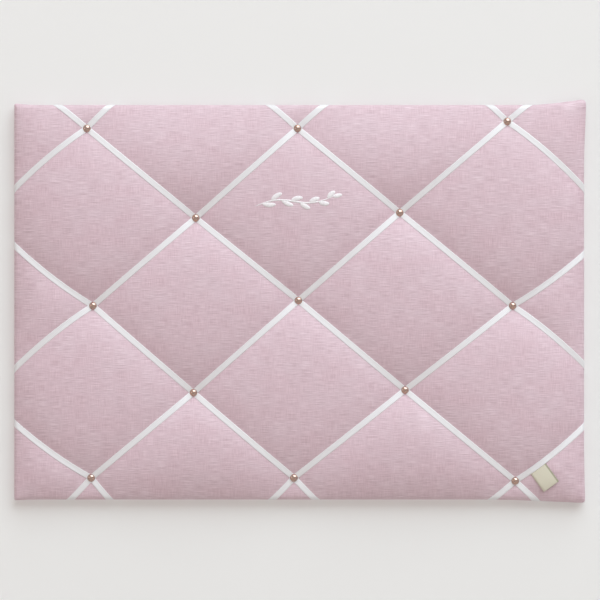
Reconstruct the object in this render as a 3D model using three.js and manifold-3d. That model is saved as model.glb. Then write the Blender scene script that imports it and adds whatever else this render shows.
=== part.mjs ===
// French memo board: a plywood core under wadding and a linen cover, laced with satin ribbon that
// dome nails pull down at every crossing, lined at the back and hung by two D-ring hangers.
// Millimetres. +X is right and +Z is up as the board hangs, and the front faces -Y.
// The origin is the centre of the lining's outer face, which lies against the wall.

import * as THREE from "three";
import { mergeVertices } from "three/addons/utils/BufferGeometryUtils.js";
import Module from "manifold-3d";

const wasm = await Module();
wasm.setup();

// Driving dimensions
const BOARD_W = 650;
const BOARD_H = 450;
const GAP = 0.3; // clearance between neighbouring pieces

const CORE_T = 6.5;
const CORE_EDGE_R = 6; // the core's front edge is rounded over
const EDGE_PAD = 5; // wadding and cloth over the core's edges
const STUD_PAD = 4; // height of the cloth over the core where a nail pulls it down
const RIBBON_PAD = 12.5; // height half-way along a ribbon, between two nails
const CROWN_RISE = 12; // height of a full pillow's crown over its border
const COVER_T = 0.8;
const HEM_W = 32; // cloth turned over on to the back

const STUD_COLUMNS = 5;
const STUD_ROWS = 5;
const STUD_MARGIN_X = 86; // from the board's sides to the outer columns of nails
const STUD_MARGIN_Z = 25; // from the board's top and bottom to the outer rows of nails

const RIBBON_W = 6;
const RIBBON_T = 0.4;
const RIBBON_TAIL = 17; // ribbon turned over on to the back

const NAIL_HEAD_D = 9;
const NAIL_HEAD_H = 3.2;
const NAIL_HEAD_T = 0.6; // wall of the hollow head
const NAIL_SHANK_D = 1.6;
const NAIL_POINT = 2;
const NAIL_STOP = 1.5; // wood left behind the point

const STAPLE_W = 10;
const STAPLE_WIRE_W = 1.2;
const STAPLE_WIRE_T = 0.6;
const STAPLE_LEG = 6;
const STAPLE_INSET = 12; // from the board's edge to the staple

const LINING_T = 1.5;
const LINING_INSET = 8;
const WINDOW_MARGIN = 3; // lining cut clear of the hangers

const HANGER_INSET = 125; // from the board's side to the middle of a hanger
const HANGER_BELOW_HEM = 6;
const STRAP_W = 10;
const STRAP_T = 1;
const STRAP_L = 27; // from the eye's axis to the strap's end
const STRAP_SLOPE = 6; // where the upper ply comes down from the eye
const RING_W = 21; // outside
const RING_H = 13; // from the eye's axis to the middle of the wire at the bow
const RING_WIRE_D = 2.4;
const RING_CORNER = 4; // where the bar bends up
const RING_BOW = 5.5; // how square the bow's shoulders are
const SCREW_D = 3;
const SCREW_HEAD_D = 6;
const SCREW_HEAD_H = 1.6;
const SCREW_INSET = 6; // from the strap's end to the screw
const SCREW_STOP = 2; // wood left behind the point
const SCREW_POINT = 2.5;
const SCREW_CROWN_D = 4.6; // flat top of the rounded head
const SCREW_RIM_H = 1; // straight rim below it
const SCREW_SLOT_W = 0.8;
const SCREW_SLOT_L = 3.6;
const SCREW_SLOT_DEPTH = 0.9;

const LABEL_W = 21;
const LABEL_L = 22; // what shows beyond the ribbon
const LABEL_T = 0.5; // both plies of the folded tape
const LABEL_ALONG = 31; // from the lower right nail along its ribbon

// How far each nail was driven from its mark, right and up, by column and row from the top left
const STUD_WANDER = {
  "0,0": [-3, -2], "2,0": [-2, -2], "4,0": [-2, 6],
  "1,1": [1.5, -4], "3,1": [-5, 2],
  "0,2": [4, -4], "2,2": [-1, 2], "4,2": [4, -4],
  "1,3": [-1, -3], "3,3": [1, 0],
  "0,4": [2, 0], "2,4": [-6, 0], "4,4": [7, -3.5],
};

// How far along the board's edge each ribbon end was pulled from the straight line of its lattice
const END_WANDER = {
  "0,0,NW": -10.5, "0,0,NE": -2.5, "2,0,NW": -7, "2,0,NE": 2.5, "4,0,NW": 4.5, "4,0,NE": -4.5,
  "0,4,SW": 5, "0,4,SE": -4, "2,4,SW": -4, "2,4,SE": -8, "4,4,SW": 7, "4,4,SE": 4,
  "0,0,SW": -2.5, "0,2,NW": -4, "0,2,SW": -7.5, "0,4,NW": -6.5,
  "4,0,SE": -2, "4,2,NE": -14, "4,2,SE": -2.5, "4,4,NE": -10,
};

// How finely the forms are cut
const ROLL_STEPS = 3;
const PILLOW_RING = 0.52; // the ring between a pillow's border and its crown
const PILLOW_RING_RISE = 0.8; // share of the rise that is reached at that ring
const LONG_STRETCH = 40; // a longer stretch of ribbon arches between its ends
const DOME_STEPS = 3;
const ROUND_SIDES = 12;
const HOLE_SIDES = 6;
const RING_STEPS = 36;
const WIRE_SIDES = 8;

// Depths, from the wall forwards: the lining's outer face is 0 and the front is negative
const Y_CROWN = -LINING_T - GAP; // outer face of a staple's crown
const Y_TAIL = Y_CROWN - STAPLE_WIRE_T - GAP; // outer face of a ribbon's tail
const Y_HEM = Y_TAIL - RIBBON_T - GAP; // outer face of the cover's hem
const Y_BACK = Y_HEM - COVER_T - GAP; // back of the core
const Y_FRONT = Y_BACK - CORE_T; // front of the core
const ROLL_R = CORE_EDGE_R + EDGE_PAD;
const FACE_X = BOARD_W / 2 - ROLL_R; // where the face ends and the rolled edge starts
const FACE_Z = BOARD_H / 2 - ROLL_R;
const RIBBON_OVER = RIBBON_T + GAP; // lift of the ribbon that passes over the other

// Solids: geometry to and from the boolean library
function toSolid(geometry) {
  const bare = geometry.clone();
  bare.deleteAttribute("normal");
  bare.deleteAttribute("uv");
  const merged = mergeVertices(bare, 1e-4);
  const vertProperties = Float32Array.from(merged.attributes.position.array);
  const triVerts = Uint32Array.from(merged.index.array);
  return new wasm.Manifold(new wasm.Mesh({ numProp: 3, vertProperties, triVerts }));
}

function toGeometry(solid) {
  const mesh = solid.getMesh();
  const geometry = new THREE.BufferGeometry();
  geometry.setAttribute("position", new THREE.BufferAttribute(mesh.vertProperties, 3));
  geometry.setIndex(new THREE.BufferAttribute(mesh.triVerts, 1));
  return geometry;
}

function cut(geometry, tools) {
  return toGeometry(tools.reduce((solid, tool) => solid.subtract(toSolid(tool)), toSolid(geometry)));
}

// An open surface seen from outside: each point has the direction in which its layers are offset
class Patch {
  points = [];
  triangles = [];
  known = new Map();

  point(at, out, lift = 0) {
    const key = at.toArray().map((value) => value.toFixed(4)).join();
    if (!this.known.has(key)) {
      this.known.set(key, this.points.length);
      this.points.push({ at, out, lift });
    }
    return this.known.get(key);
  }

  triangle(a, b, c) {
    if (a !== b && b !== c && c !== a) this.triangles.push([a, b, c]);
  }

  quad(a, b, c, d) {
    this.triangle(a, b, c);
    this.triangle(a, c, d);
  }

  // The edges that only one triangle has, in order, as a map from each point to the next
  rim() {
    const edges = this.triangles.flatMap(([a, b, c]) => [[a, b], [b, c], [c, a]]);
    const seen = new Set(edges.map(([a, b]) => `${a},${b}`));
    return new Map(edges.filter(([a, b]) => !seen.has(`${b},${a}`)));
  }

  offset(distance) {
    return this.points.map(({ at, out, lift }) => at.clone().addScaledVector(out, distance + lift));
  }
}

function indexed(points, triangles) {
  const geometry = new THREE.BufferGeometry().setFromPoints(points);
  geometry.setIndex(triangles.flat());
  return geometry;
}

// A sheet of cloth or ribbon that follows a patch, between two offsets from it
function layer(patch, low, high) {
  const under = patch.points.length;
  const inside = patch.triangles.map((corners) => corners.map((index) => index + under).reverse());
  const triangles = [...patch.triangles, ...inside];
  for (const [a, b] of patch.rim()) {
    triangles.push([b, a, a + under], [b, a + under, b + under]);
  }
  return indexed([...patch.offset(high), ...patch.offset(low)], triangles);
}

// The body inside a patch, closed by a flat back
function filled(patch, offset) {
  const points = patch.offset(offset);
  const rim = [...patch.rim()];
  const middle = new THREE.Vector3(0, points[rim[0][0]].y, 0);
  const triangles = [...patch.triangles, ...rim.map(([a, b]) => [b, a, points.length])];
  return indexed([...points, middle], triangles);
}

// The lattice of nails
const STEP_X = (BOARD_W - 2 * STUD_MARGIN_X) / (STUD_COLUMNS - 1);
const STEP_Z = (BOARD_H - 2 * STUD_MARGIN_Z) / (STUD_ROWS - 1);

function mark(column, row) {
  const x = STUD_MARGIN_X + column * STEP_X - BOARD_W / 2;
  const z = BOARD_H / 2 - STUD_MARGIN_Z - row * STEP_Z;
  return new THREE.Vector2(x, z);
}

const studs = [];
for (let row = 0; row < STUD_ROWS; row += 1) {
  for (let column = row % 2; column < STUD_COLUMNS; column += 2) {
    const wander = new THREE.Vector2(...(STUD_WANDER[`${column},${row}`] ?? [0, 0]));
    studs.push({ column, row, at: mark(column, row).add(wander) });
  }
}

function studAt(column, row) {
  return studs.find((stud) => stud.column === column && stud.row === row);
}

// The four ways that ribbon leaves a nail, clockwise
const WAYS = [
  { name: "NW", x: -1, z: 1 },
  { name: "NE", x: 1, z: 1 },
  { name: "SE", x: 1, z: -1 },
  { name: "SW", x: -1, z: -1 },
];
const [NE, SE] = ["NE", "SE"].map((name) => WAYS.findIndex((way) => way.name === name));
const turn = (way, quarters) => (way + quarters) % 4;

// A stretch of ribbon from a nail: to the next nail, or out over the board's nearest edge. The aim
// of an outer stretch lies on the unrolled edge, so the ribbon runs straight round the roll.
function stretch(stud, way) {
  const { name, x, z } = WAYS[way];
  const next = studAt(stud.column + x, stud.row - z);
  if (next) return { next, direction: next.at.clone().sub(stud.at).normalize() };
  const from = mark(stud.column, stud.row);
  const stepsToSide = (BOARD_W / 2 - x * from.x) / STEP_X;
  const stepsToTop = (BOARD_H / 2 - z * from.y) / STEP_Z;
  const steps = Math.min(stepsToSide, stepsToTop);
  const wander = END_WANDER[`${stud.column},${stud.row},${name}`] ?? 0;
  const quarterRoll = (ROLL_R * Math.PI) / 2;
  const aim = new THREE.Vector2(x * (FACE_X + quarterRoll), z * (FACE_Z + quarterRoll));
  const edge = new THREE.Vector2();
  if (stepsToSide < stepsToTop) {
    edge.x = x;
    aim.y = from.y + z * STEP_Z * steps + wander;
  } else {
    edge.y = z;
    aim.x = from.x + x * STEP_X * steps + wander;
  }
  return { edge, direction: aim.sub(stud.at).normalize() };
}

for (const stud of studs) stud.ways = WAYS.map((_, way) => stretch(stud, way));

// Where the edges of two neighbouring stretches meet at a nail
function corner(stud, way) {
  const one = stud.ways[way].direction;
  const two = stud.ways[turn(way, 1)].direction;
  const reach = RIBBON_W / 2 / Math.abs(one.cross(two));
  return stud.at.clone().addScaledVector(one.clone().add(two), reach);
}

// A stretch's two edges, seen along it: where each starts, ends and is half-way
function near(stud, way, side) {
  return corner(stud, side === "left" ? turn(way, 3) : way);
}

function far(stud, way, side) {
  const { next, edge, direction } = stud.ways[way];
  if (next) return corner(next, side === "left" ? turn(way, 2) : turn(way, 1));
  const start = near(stud, way, side);
  const run = edge.x
    ? (edge.x * FACE_X - start.x) / direction.x
    : (edge.y * FACE_Z - start.y) / direction.y;
  return start.addScaledVector(direction, run);
}

function halfWay(stud, way, side) {
  return near(stud, way, side).add(far(stud, way, side)).divideScalar(2);
}

function length(stud, way) {
  const sides = ["left", "right"].map((side) => near(stud, way, side).distanceTo(far(stud, way, side)));
  return (sides[0] + sides[1]) / 2;
}

function isLong(stud, way) {
  return length(stud, way) > LONG_STRETCH;
}

// Height of the cloth half-way along a stretch: the longer it is, the higher it arches
const FULL_STRETCH = Math.hypot(STEP_X, STEP_Z) - RIBBON_W;
function archPad(stud, way) {
  const ends = stud.ways[way].next ? STUD_PAD : (STUD_PAD + EDGE_PAD) / 2;
  return ends + (RIBBON_PAD - ends) * Math.min(1, length(stud, way) / FULL_STRETCH);
}

// A point of the cloth's outer face
const FORWARD = new THREE.Vector3(0, -1, 0);
function onFace(place, pad) {
  return new THREE.Vector3(place.x, Y_FRONT - pad, place.y);
}

// The rolled edge as a profile: distance out from the face, depth, offset direction and run of cloth
function roll(radius, front) {
  return Array.from({ length: ROLL_STEPS }, (_, step) => {
    const angle = ((step + 1) * Math.PI) / 2 / ROLL_STEPS;
    const out = radius * Math.sin(angle);
    const y = front + radius * (1 - Math.cos(angle));
    return { out, y, turnOut: Math.sin(angle), turnBack: -Math.cos(angle), run: radius * angle };
  });
}

const coverRoll = roll(ROLL_R, Y_FRONT - EDGE_PAD);
const coverSide = Y_HEM - coverRoll.at(-1).y;
const backRun = coverRoll.at(-1).run + coverSide;
const backCorner = { out: ROLL_R, y: Y_HEM, turnOut: 1, turnBack: 1, run: backRun };
const hemEnd = { out: ROLL_R - HEM_W, y: Y_HEM, turnOut: 0, turnBack: 1 };
const tailEnd = {
  out: ROLL_R - RIBBON_TAIL,
  y: Y_HEM,
  turnOut: 0,
  turnBack: 1,
  run: backRun + RIBBON_TAIL,
};

// Carries a face's rim round a profile, with mitred corners
function skirt(patch, profile) {
  const rim = [...patch.rim()];
  const columns = new Map();
  for (const [start] of rim) {
    const { at } = patch.points[start];
    const edgeX = Math.abs(Math.abs(at.x) - FACE_X) < 1e-6 ? Math.sign(at.x) : 0;
    const edgeZ = Math.abs(Math.abs(at.z) - FACE_Z) < 1e-6 ? Math.sign(at.z) : 0;
    const column = profile.map(({ out, y, turnOut, turnBack }) => {
      const x = Math.min(Math.max(at.x + edgeX * out, -FACE_X - out), FACE_X + out);
      const z = Math.min(Math.max(at.z + edgeZ * out, -FACE_Z - out), FACE_Z + out);
      const offset = new THREE.Vector3(edgeX * turnOut, turnBack, edgeZ * turnOut);
      return patch.point(new THREE.Vector3(x, y, z), offset);
    });
    columns.set(start, [start, ...column]);
  }
  for (const [a, b] of rim) {
    const one = columns.get(a);
    const two = columns.get(b);
    for (let step = 0; step < profile.length; step += 1) {
      patch.quad(one[step], one[step + 1], two[step + 1], two[step]);
    }
  }
}

// A ribbon's route over the face, as pairs of edge points seen along it
function faceRoute(start, way) {
  const back = turn(way, 2);
  const route = [];
  const add = (stud, place, direction, pad, more) => {
    const sides = ["left", "right"].map((side) => place(stud, direction, side));
    if (direction === back) sides.reverse();
    route.push({ sides, pad, ...more });
  };
  add(start, far, back, EDGE_PAD);
  if (isLong(start, back)) add(start, halfWay, back, archPad(start, back));
  for (let stud = start; stud; stud = stud.ways[way].next) {
    add(stud, near, back, STUD_PAD, { crossing: true });
    add(stud, near, way, STUD_PAD, { crossing: true });
    const underLabel = way === NE && stud === labelStud;
    if (isLong(stud, way)) add(stud, halfWay, way, archPad(stud, way), { underLabel });
    if (!stud.ways[way].next) add(stud, far, way, EDGE_PAD, { last: stud });
  }
  return route;
}

// The rest of its route, from the face round the edge to the tail's end on the back
function tailRoute(stud, way) {
  const { edge, direction } = stud.ways[way];
  const along = new THREE.Vector2(edge.y, edge.x);
  const slant = direction.dot(along) / direction.dot(edge);
  return [...coverRoll, backCorner, tailEnd].map(({ out, y, turnOut, turnBack, run }) => {
    const sides = ["left", "right"].map((side) => {
      const place = far(stud, way, side).addScaledVector(edge, out).addScaledVector(along, slant * run);
      return new THREE.Vector3(place.x, y, place.y);
    });
    const offset = new THREE.Vector3(edge.x * turnOut, turnBack, edge.y * turnOut);
    return { sides, offset };
  });
}

const labelStud = studs.at(-1);
const ribbons = [];
for (const [name, way] of [["falling", SE], ["rising", NE]]) {
  const starts = studs.filter((stud) => !stud.ways[turn(way, 2)].next);
  if (way === NE) starts.sort((a, b) => a.column - b.column || a.row - b.row);
  else starts.sort((a, b) => a.column - b.column || b.row - a.row);
  starts.forEach((start, index) => {
    const route = faceRoute(start, way);
    ribbons.push({ name: `ribbon_${name}_${index + 1}`, way, start, route, end: route.at(-1).last });
  });
}

function ribbonPatch({ way, start, end, route }) {
  const patch = new Patch();
  const over = way === NE;
  const flip = ({ sides, offset }) => ({ sides: [...sides].reverse(), offset });
  const face = route.map(({ sides, pad, crossing, underLabel }) => ({
    sides: sides.map((place) => onFace(place, pad)),
    offset: FORWARD,
    lift: over && crossing ? RIBBON_OVER : underLabel ? LABEL_T + GAP : 0,
  }));
  const firstTail = tailRoute(start, turn(way, 2)).map(flip).reverse();
  const whole = [...firstTail, ...face, ...tailRoute(end, way)];
  const pairs = whole.map(({ sides, offset, lift }) => sides.map((at) => patch.point(at, offset, lift)));
  for (let step = 1; step < pairs.length; step += 1) {
    patch.quad(pairs[step - 1][0], pairs[step - 1][1], pairs[step][1], pairs[step][0]);
  }
  return patch;
}

// A pillow's border, clockwise from its left nail: along the ribbons, and along the face's edge
// where a nail is missing
function pillowBorder(column, row) {
  const around = [[-1, 0], [0, -1], [1, 0], [0, 1]].map(([x, y]) => studAt(column + x, row + y));
  const border = [];
  around.forEach((stud, index) => {
    const way = turn(index, 1);
    const next = around[turn(index, 1)];
    if (stud) {
      border.push({ at: near(stud, way, "right"), pad: STUD_PAD });
      if (isLong(stud, way)) border.push({ at: halfWay(stud, way, "right"), pad: archPad(stud, way) });
      if (!next) border.push({ at: far(stud, way, "right"), pad: EDGE_PAD, edge: stud.ways[way].edge });
    } else if (next) {
      const back = turn(way, 2);
      border.push({ at: far(next, back, "left"), pad: EDGE_PAD, edge: next.ways[back].edge });
      if (isLong(next, back)) border.push({ at: halfWay(next, back, "left"), pad: archPad(next, back) });
    }
  });
  return border.flatMap((one, index) => {
    const two = border[(index + 1) % border.length];
    if (!one.edge || !two.edge || one.edge.equals(two.edge)) return [one];
    const both = one.edge.clone().add(two.edge);
    return [one, { at: new THREE.Vector2(both.x * FACE_X, both.y * FACE_Z), pad: EDGE_PAD }];
  });
}

// Room in a pillow: from its middle to its nearest border, as a share of a full pillow's
const FULL_ROOM = (STEP_X * STEP_Z) / Math.hypot(STEP_X, STEP_Z) - RIBBON_W / 2;
function roomIn(border, middle) {
  const rooms = border.map(({ at }, index) => {
    const side = border[(index + 1) % border.length].at.clone().sub(at).normalize();
    return Math.abs(side.cross(middle.clone().sub(at)));
  });
  return Math.min(1, Math.min(...rooms) / FULL_ROOM);
}

function addPillow(patch, border) {
  const middle = new THREE.Vector2();
  for (const { at } of border) middle.addScaledVector(at, 1 / border.length);
  const room = roomIn(border, middle);
  const borderPad = border.reduce((sum, { pad }) => sum + pad / border.length, 0);
  const crown = borderPad + CROWN_RISE * room;
  const top = patch.point(onFace(middle, crown), FORWARD);
  const rim = border.map(({ at, pad }) => patch.point(onFace(at, pad), FORWARD));
  const ring = border.map(({ at, pad }) => {
    const place = middle.clone().lerp(at, PILLOW_RING);
    return patch.point(onFace(place, pad + (crown - pad) * PILLOW_RING_RISE), FORWARD);
  });
  border.forEach((_, index) => {
    const next = (index + 1) % border.length;
    patch.quad(rim[next], rim[index], ring[index], ring[next]);
    patch.triangle(ring[next], ring[index], top);
  });
}

// The quilted face: ribbon channels, flat seats under the nails, and a pillow in each diamond
function facePatch() {
  const patch = new Patch();
  for (const { way, route } of ribbons) {
    const pairs = route.map(({ sides, pad }) =>
      sides.map((place) => patch.point(onFace(place, pad), FORWARD)));
    for (let step = 1; step < pairs.length; step += 1) {
      const seat = route[step - 1].crossing && route[step].crossing;
      if (seat && way === NE) continue;
      patch.quad(pairs[step - 1][0], pairs[step - 1][1], pairs[step][1], pairs[step][0]);
    }
  }
  for (let row = -1; row <= STUD_ROWS; row += 1) {
    for (let column = -1; column <= STUD_COLUMNS; column += 1) {
      if ((column + row) % 2 === 0) continue;
      const border = pillowBorder(column, row);
      if (border.length > 2) addPillow(patch, border);
    }
  }
  return patch;
}

// Height of the cloth over the core at a place on the face
function padAt(patch, place) {
  for (const triangle of patch.triangles) {
    const [a, b, c] = triangle.map((index) => patch.points[index].at);
    const flat = new THREE.Triangle(...[a, b, c].map(({ x, z }) => new THREE.Vector3(x, 0, z)));
    const spot = new THREE.Vector3(place.x, 0, place.y);
    if (!flat.containsPoint(spot)) continue;
    const share = flat.getBarycoord(spot, new THREE.Vector3());
    return Y_FRONT - (a.y * share.x + b.y * share.y + c.y * share.z);
  }
  return 0;
}

// A block with the core's rounded front edge
function block(radius, front, back) {
  const patch = new Patch();
  const corners = [[-1, -1], [1, -1], [1, 1], [-1, 1]];
  const places = corners.map(([x, z]) => new THREE.Vector3(x * FACE_X, front, z * FACE_Z));
  patch.quad(...places.map((at) => patch.point(at, FORWARD)));
  skirt(patch, [...roll(radius, front), { out: radius, y: back, turnOut: 1, turnBack: 0 }]);
  return filled(patch, 0);
}

// Holes for the nails, the staples' legs and the screws
const NAIL_SEAT = Y_FRONT - STUD_PAD - 2 * RIBBON_OVER - GAP; // plane of a nail head's rim
const NAIL_END = Y_BACK - NAIL_STOP;

function nailHole({ at }) {
  const deep = NAIL_END + GAP - NAIL_SEAT;
  const radius = NAIL_SHANK_D / 2 + GAP;
  const hole = new THREE.CylinderGeometry(radius, radius, deep, HOLE_SIDES);
  return hole.translate(at.x, NAIL_SEAT + deep / 2, at.y);
}

const staples = ribbons.flatMap(({ way, start, end }) =>
  [[start, turn(way, 2)], [end, way]].map(([stud, outward]) => {
    const { edge, direction } = stud.ways[outward];
    const along = new THREE.Vector2(edge.y, edge.x);
    const slant = direction.dot(along) / direction.dot(edge);
    const middle = far(stud, outward, "left").add(far(stud, outward, "right")).divideScalar(2);
    middle.addScaledVector(edge, ROLL_R - STAPLE_INSET);
    middle.addScaledVector(along, slant * (backRun + STAPLE_INSET));
    const inward = along.clone().multiplyScalar(slant).sub(edge);
    return { at: middle, angle: Math.atan2(inward.x, inward.y) };
  }),
);

function stapleLegHoles({ at, angle }) {
  const deep = STAPLE_LEG + 2 * GAP;
  return [-1, 1].map((side) => {
    const hole = new THREE.BoxGeometry(STAPLE_WIRE_T + 2 * GAP, deep, STAPLE_WIRE_W + 2 * GAP);
    hole.translate(side * (STAPLE_W - STAPLE_WIRE_T) / 2, Y_CROWN + GAP - deep / 2, 0);
    return hole.rotateY(angle).translate(at.x, 0, at.y);
  });
}

// Where the hangers sit: the eye's axis on the back of the core, below the hem
const EYE_BORE_R = RING_WIRE_D / 2 + GAP;
const EYE_R = EYE_BORE_R + STRAP_T;
const EYE_Y = Y_BACK + GAP + EYE_R;
const EYE_Z = BOARD_H / 2 - HEM_W - HANGER_BELOW_HEM - RING_H - RING_WIRE_D / 2;
const HANGER_X = BOARD_W / 2 - HANGER_INSET;
const SCREW_Z = EYE_Z - STRAP_L + SCREW_INSET;
const STRAP_TOP = Y_BACK + GAP + 2 * STRAP_T;
const SCREW_END = Y_FRONT + SCREW_STOP;

function screwHole(x) {
  const deep = STRAP_TOP + GAP - (SCREW_END - GAP);
  const radius = SCREW_D / 2 + GAP;
  const hole = new THREE.CylinderGeometry(radius, radius, deep, ROUND_SIDES);
  return hole.translate(x, SCREW_END - GAP + deep / 2, SCREW_Z);
}

// A nail: hollow dome head, round shank and point, turned about its own axis
function nail({ at }) {
  const outer = NAIL_HEAD_D / 2;
  const inner = outer - NAIL_HEAD_T;
  const shank = NAIL_SHANK_D / 2;
  const end = NAIL_END - NAIL_SEAT;
  const quarter = (step) => (step * Math.PI) / 2 / DOME_STEPS;
  const dome = Array.from({ length: DOME_STEPS + 1 }, (_, step) => {
    return [outer * Math.sin(quarter(step)), -NAIL_HEAD_H * Math.cos(quarter(step))];
  });
  const hollow = NAIL_HEAD_H - NAIL_HEAD_T;
  const shoulder = [inner * Math.sin(quarter(2)), -hollow * Math.cos(quarter(2))];
  const profile = [...dome, [inner, 0], shoulder, [shank, -hollow], [shank, end - NAIL_POINT], [0, end]];
  const points = profile.map(([radius, depth]) => new THREE.Vector2(radius, depth));
  return new THREE.LatheGeometry(points, ROUND_SIDES).translate(at.x, NAIL_SEAT, at.y);
}

// A staple: a flat wire crown with two legs
function staple({ at, angle }) {
  const half = STAPLE_W / 2;
  const inside = half - STAPLE_WIRE_T;
  const outline = [
    [-half, 0], [-half, -STAPLE_LEG], [-inside, -STAPLE_LEG], [-inside, -STAPLE_WIRE_T],
    [inside, -STAPLE_WIRE_T], [inside, -STAPLE_LEG], [half, -STAPLE_LEG], [half, 0],
  ];
  const shape = new THREE.Shape(outline.map(([x, y]) => new THREE.Vector2(x, y)));
  const wire = new THREE.ExtrudeGeometry(shape, { depth: STAPLE_WIRE_W, bevelEnabled: false });
  return wire.translate(0, Y_CROWN, -STAPLE_WIRE_W / 2).rotateY(angle).translate(at.x, 0, at.y);
}

// A strap hanger: sheet metal bent round the ring's bar, its two plies pressed together
function strap(x) {
  const shape = new THREE.Shape();
  shape.moveTo(-STRAP_L, 0);
  shape.lineTo(0, 0);
  shape.absarc(0, EYE_R, EYE_R, -Math.PI / 2, Math.PI / 2, false);
  shape.lineTo(-STRAP_SLOPE, 2 * STRAP_T);
  shape.lineTo(-STRAP_L, 2 * STRAP_T);
  const eye = new THREE.Path();
  eye.absarc(0, EYE_R, EYE_BORE_R, 0, 2 * Math.PI, true);
  shape.holes.push(eye);
  const settings = { depth: STRAP_W, bevelEnabled: false, curveSegments: ROUND_SIDES / 2 };
  const bent = new THREE.ExtrudeGeometry(shape, settings);
  bent.translate(0, 0, -STRAP_W / 2).rotateY(-Math.PI / 2).translate(x, Y_BACK + GAP, EYE_Z);
  return cut(bent, [screwHole(x)]);
}

// A D-ring of bent wire, whose ends meet inside the eye
function ring(x) {
  const half = RING_W / 2 - RING_WIRE_D / 2;
  const spot = (across, up) => new THREE.Vector3(across, 0, up);
  const bend = half - RING_CORNER;
  const shoulder = RING_CORNER + RING_BOW;
  const path = new THREE.CurvePath();
  path.add(new THREE.LineCurve3(spot(GAP / 2, 0), spot(bend, 0)));
  path.add(new THREE.QuadraticBezierCurve3(spot(bend, 0), spot(half, 0), spot(half, RING_CORNER)));
  path.add(new THREE.CubicBezierCurve3(
    spot(half, RING_CORNER), spot(half, shoulder), spot(RING_BOW, RING_H), spot(0, RING_H)));
  path.add(new THREE.CubicBezierCurve3(
    spot(0, RING_H), spot(-RING_BOW, RING_H), spot(-half, shoulder), spot(-half, RING_CORNER)));
  path.add(new THREE.QuadraticBezierCurve3(spot(-half, RING_CORNER), spot(-half, 0), spot(-bend, 0)));
  path.add(new THREE.LineCurve3(spot(-bend, 0), spot(-GAP / 2, 0)));
  const section = new THREE.Shape();
  section.absarc(0, 0, RING_WIRE_D / 2, 0, 2 * Math.PI, false);
  const curveSegments = WIRE_SIDES / 2;
  const settings = { steps: RING_STEPS, extrudePath: path, bevelEnabled: false, curveSegments };
  return new THREE.ExtrudeGeometry(section, settings).translate(x, EYE_Y, EYE_Z);
}

// A cross-slotted pan-head screw through the strap into the core
function screw(x) {
  const head = STRAP_TOP + GAP;
  const radius = SCREW_D / 2;
  const profile = [
    [0, SCREW_END], [radius, SCREW_END + SCREW_POINT], [radius, head],
    [SCREW_HEAD_D / 2, head], [SCREW_HEAD_D / 2, head + SCREW_RIM_H],
    [SCREW_CROWN_D / 2, head + SCREW_HEAD_H], [0, head + SCREW_HEAD_H],
  ];
  const points = profile.map(([r, y]) => new THREE.Vector2(r, y));
  const turned = new THREE.LatheGeometry(points, ROUND_SIDES);
  const slots = [0, Math.PI / 2].map((angle) => {
    const slot = new THREE.BoxGeometry(SCREW_SLOT_W, 2 * SCREW_SLOT_DEPTH, SCREW_SLOT_L);
    return slot.rotateY(angle).translate(0, head + SCREW_HEAD_H, 0);
  });
  return cut(turned, slots).translate(x, 0, SCREW_Z);
}

// The lining, with a window round each hanger
function lining() {
  const sheet = new THREE.BoxGeometry(BOARD_W - 2 * LINING_INSET, LINING_T, BOARD_H - 2 * LINING_INSET);
  const low = EYE_Z - STRAP_L - WINDOW_MARGIN;
  const high = EYE_Z + RING_H + RING_WIRE_D / 2 + WINDOW_MARGIN;
  const windows = [-HANGER_X, HANGER_X].map((x) => {
    const window = new THREE.BoxGeometry(RING_W + 2 * WINDOW_MARGIN, 2 * LINING_T, high - low);
    return window.translate(x, 0, (low + high) / 2);
  });
  return cut(sheet, windows).translate(0, -LINING_T / 2, 0);
}

// The folded label tape: its root lies under the lower right ribbon and climbs with it, and its flap
// lies on the pillow beside it
function label(face) {
  const along = labelStud.ways[NE].direction;
  const across = new THREE.Vector2(along.y, -along.x);
  const middle = labelStud.at.clone().addScaledVector(along, LABEL_ALONG);
  const climb = (archPad(labelStud, NE) - STUD_PAD) / (length(labelStud, NE) / 2);
  const half = RIBBON_W / 2;
  const spots = [-1, -0.5, 0, 0.5, 1].map((share) => share * LABEL_W / 2);
  const padBeside = (out, shift) => {
    const place = middle.clone().addScaledVector(across, out).addScaledVector(along, shift);
    return padAt(face, place) - climb * shift;
  };
  const seat = Math.max(...spots.map((shift) => padBeside(0, shift)));
  const outs = [0.25, 0.5, 0.75, 1].map((share) => half + share * LABEL_L);
  const slopes = outs.flatMap((out) => spots.map((shift) => (padBeside(out, shift) - seat) / (out - half)));
  const rise = LABEL_L * Math.max(0, ...slopes);
  const tip = half + LABEL_L;
  const outline = [
    [-half, 0], [half, 0], [tip, rise], [tip, rise + LABEL_T], [half, LABEL_T], [-half, LABEL_T],
  ];
  const shape = new THREE.Shape(outline.map(([x, y]) => new THREE.Vector2(x, y)));
  const tape = new THREE.ExtrudeGeometry(shape, { depth: LABEL_W, bevelEnabled: false });
  tape.translate(0, 0, -LABEL_W / 2);
  const acrossAxis = new THREE.Vector3(across.x, 0, across.y);
  const alongAxis = new THREE.Vector3(along.x, -climb, along.y).normalize();
  const outAxis = acrossAxis.clone().cross(alongAxis);
  const axes = new THREE.Matrix4().makeBasis(acrossAxis, outAxis, alongAxis.negate());
  return tape.applyMatrix4(axes).translate(middle.x, Y_FRONT - seat - GAP, middle.y);
}

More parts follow.
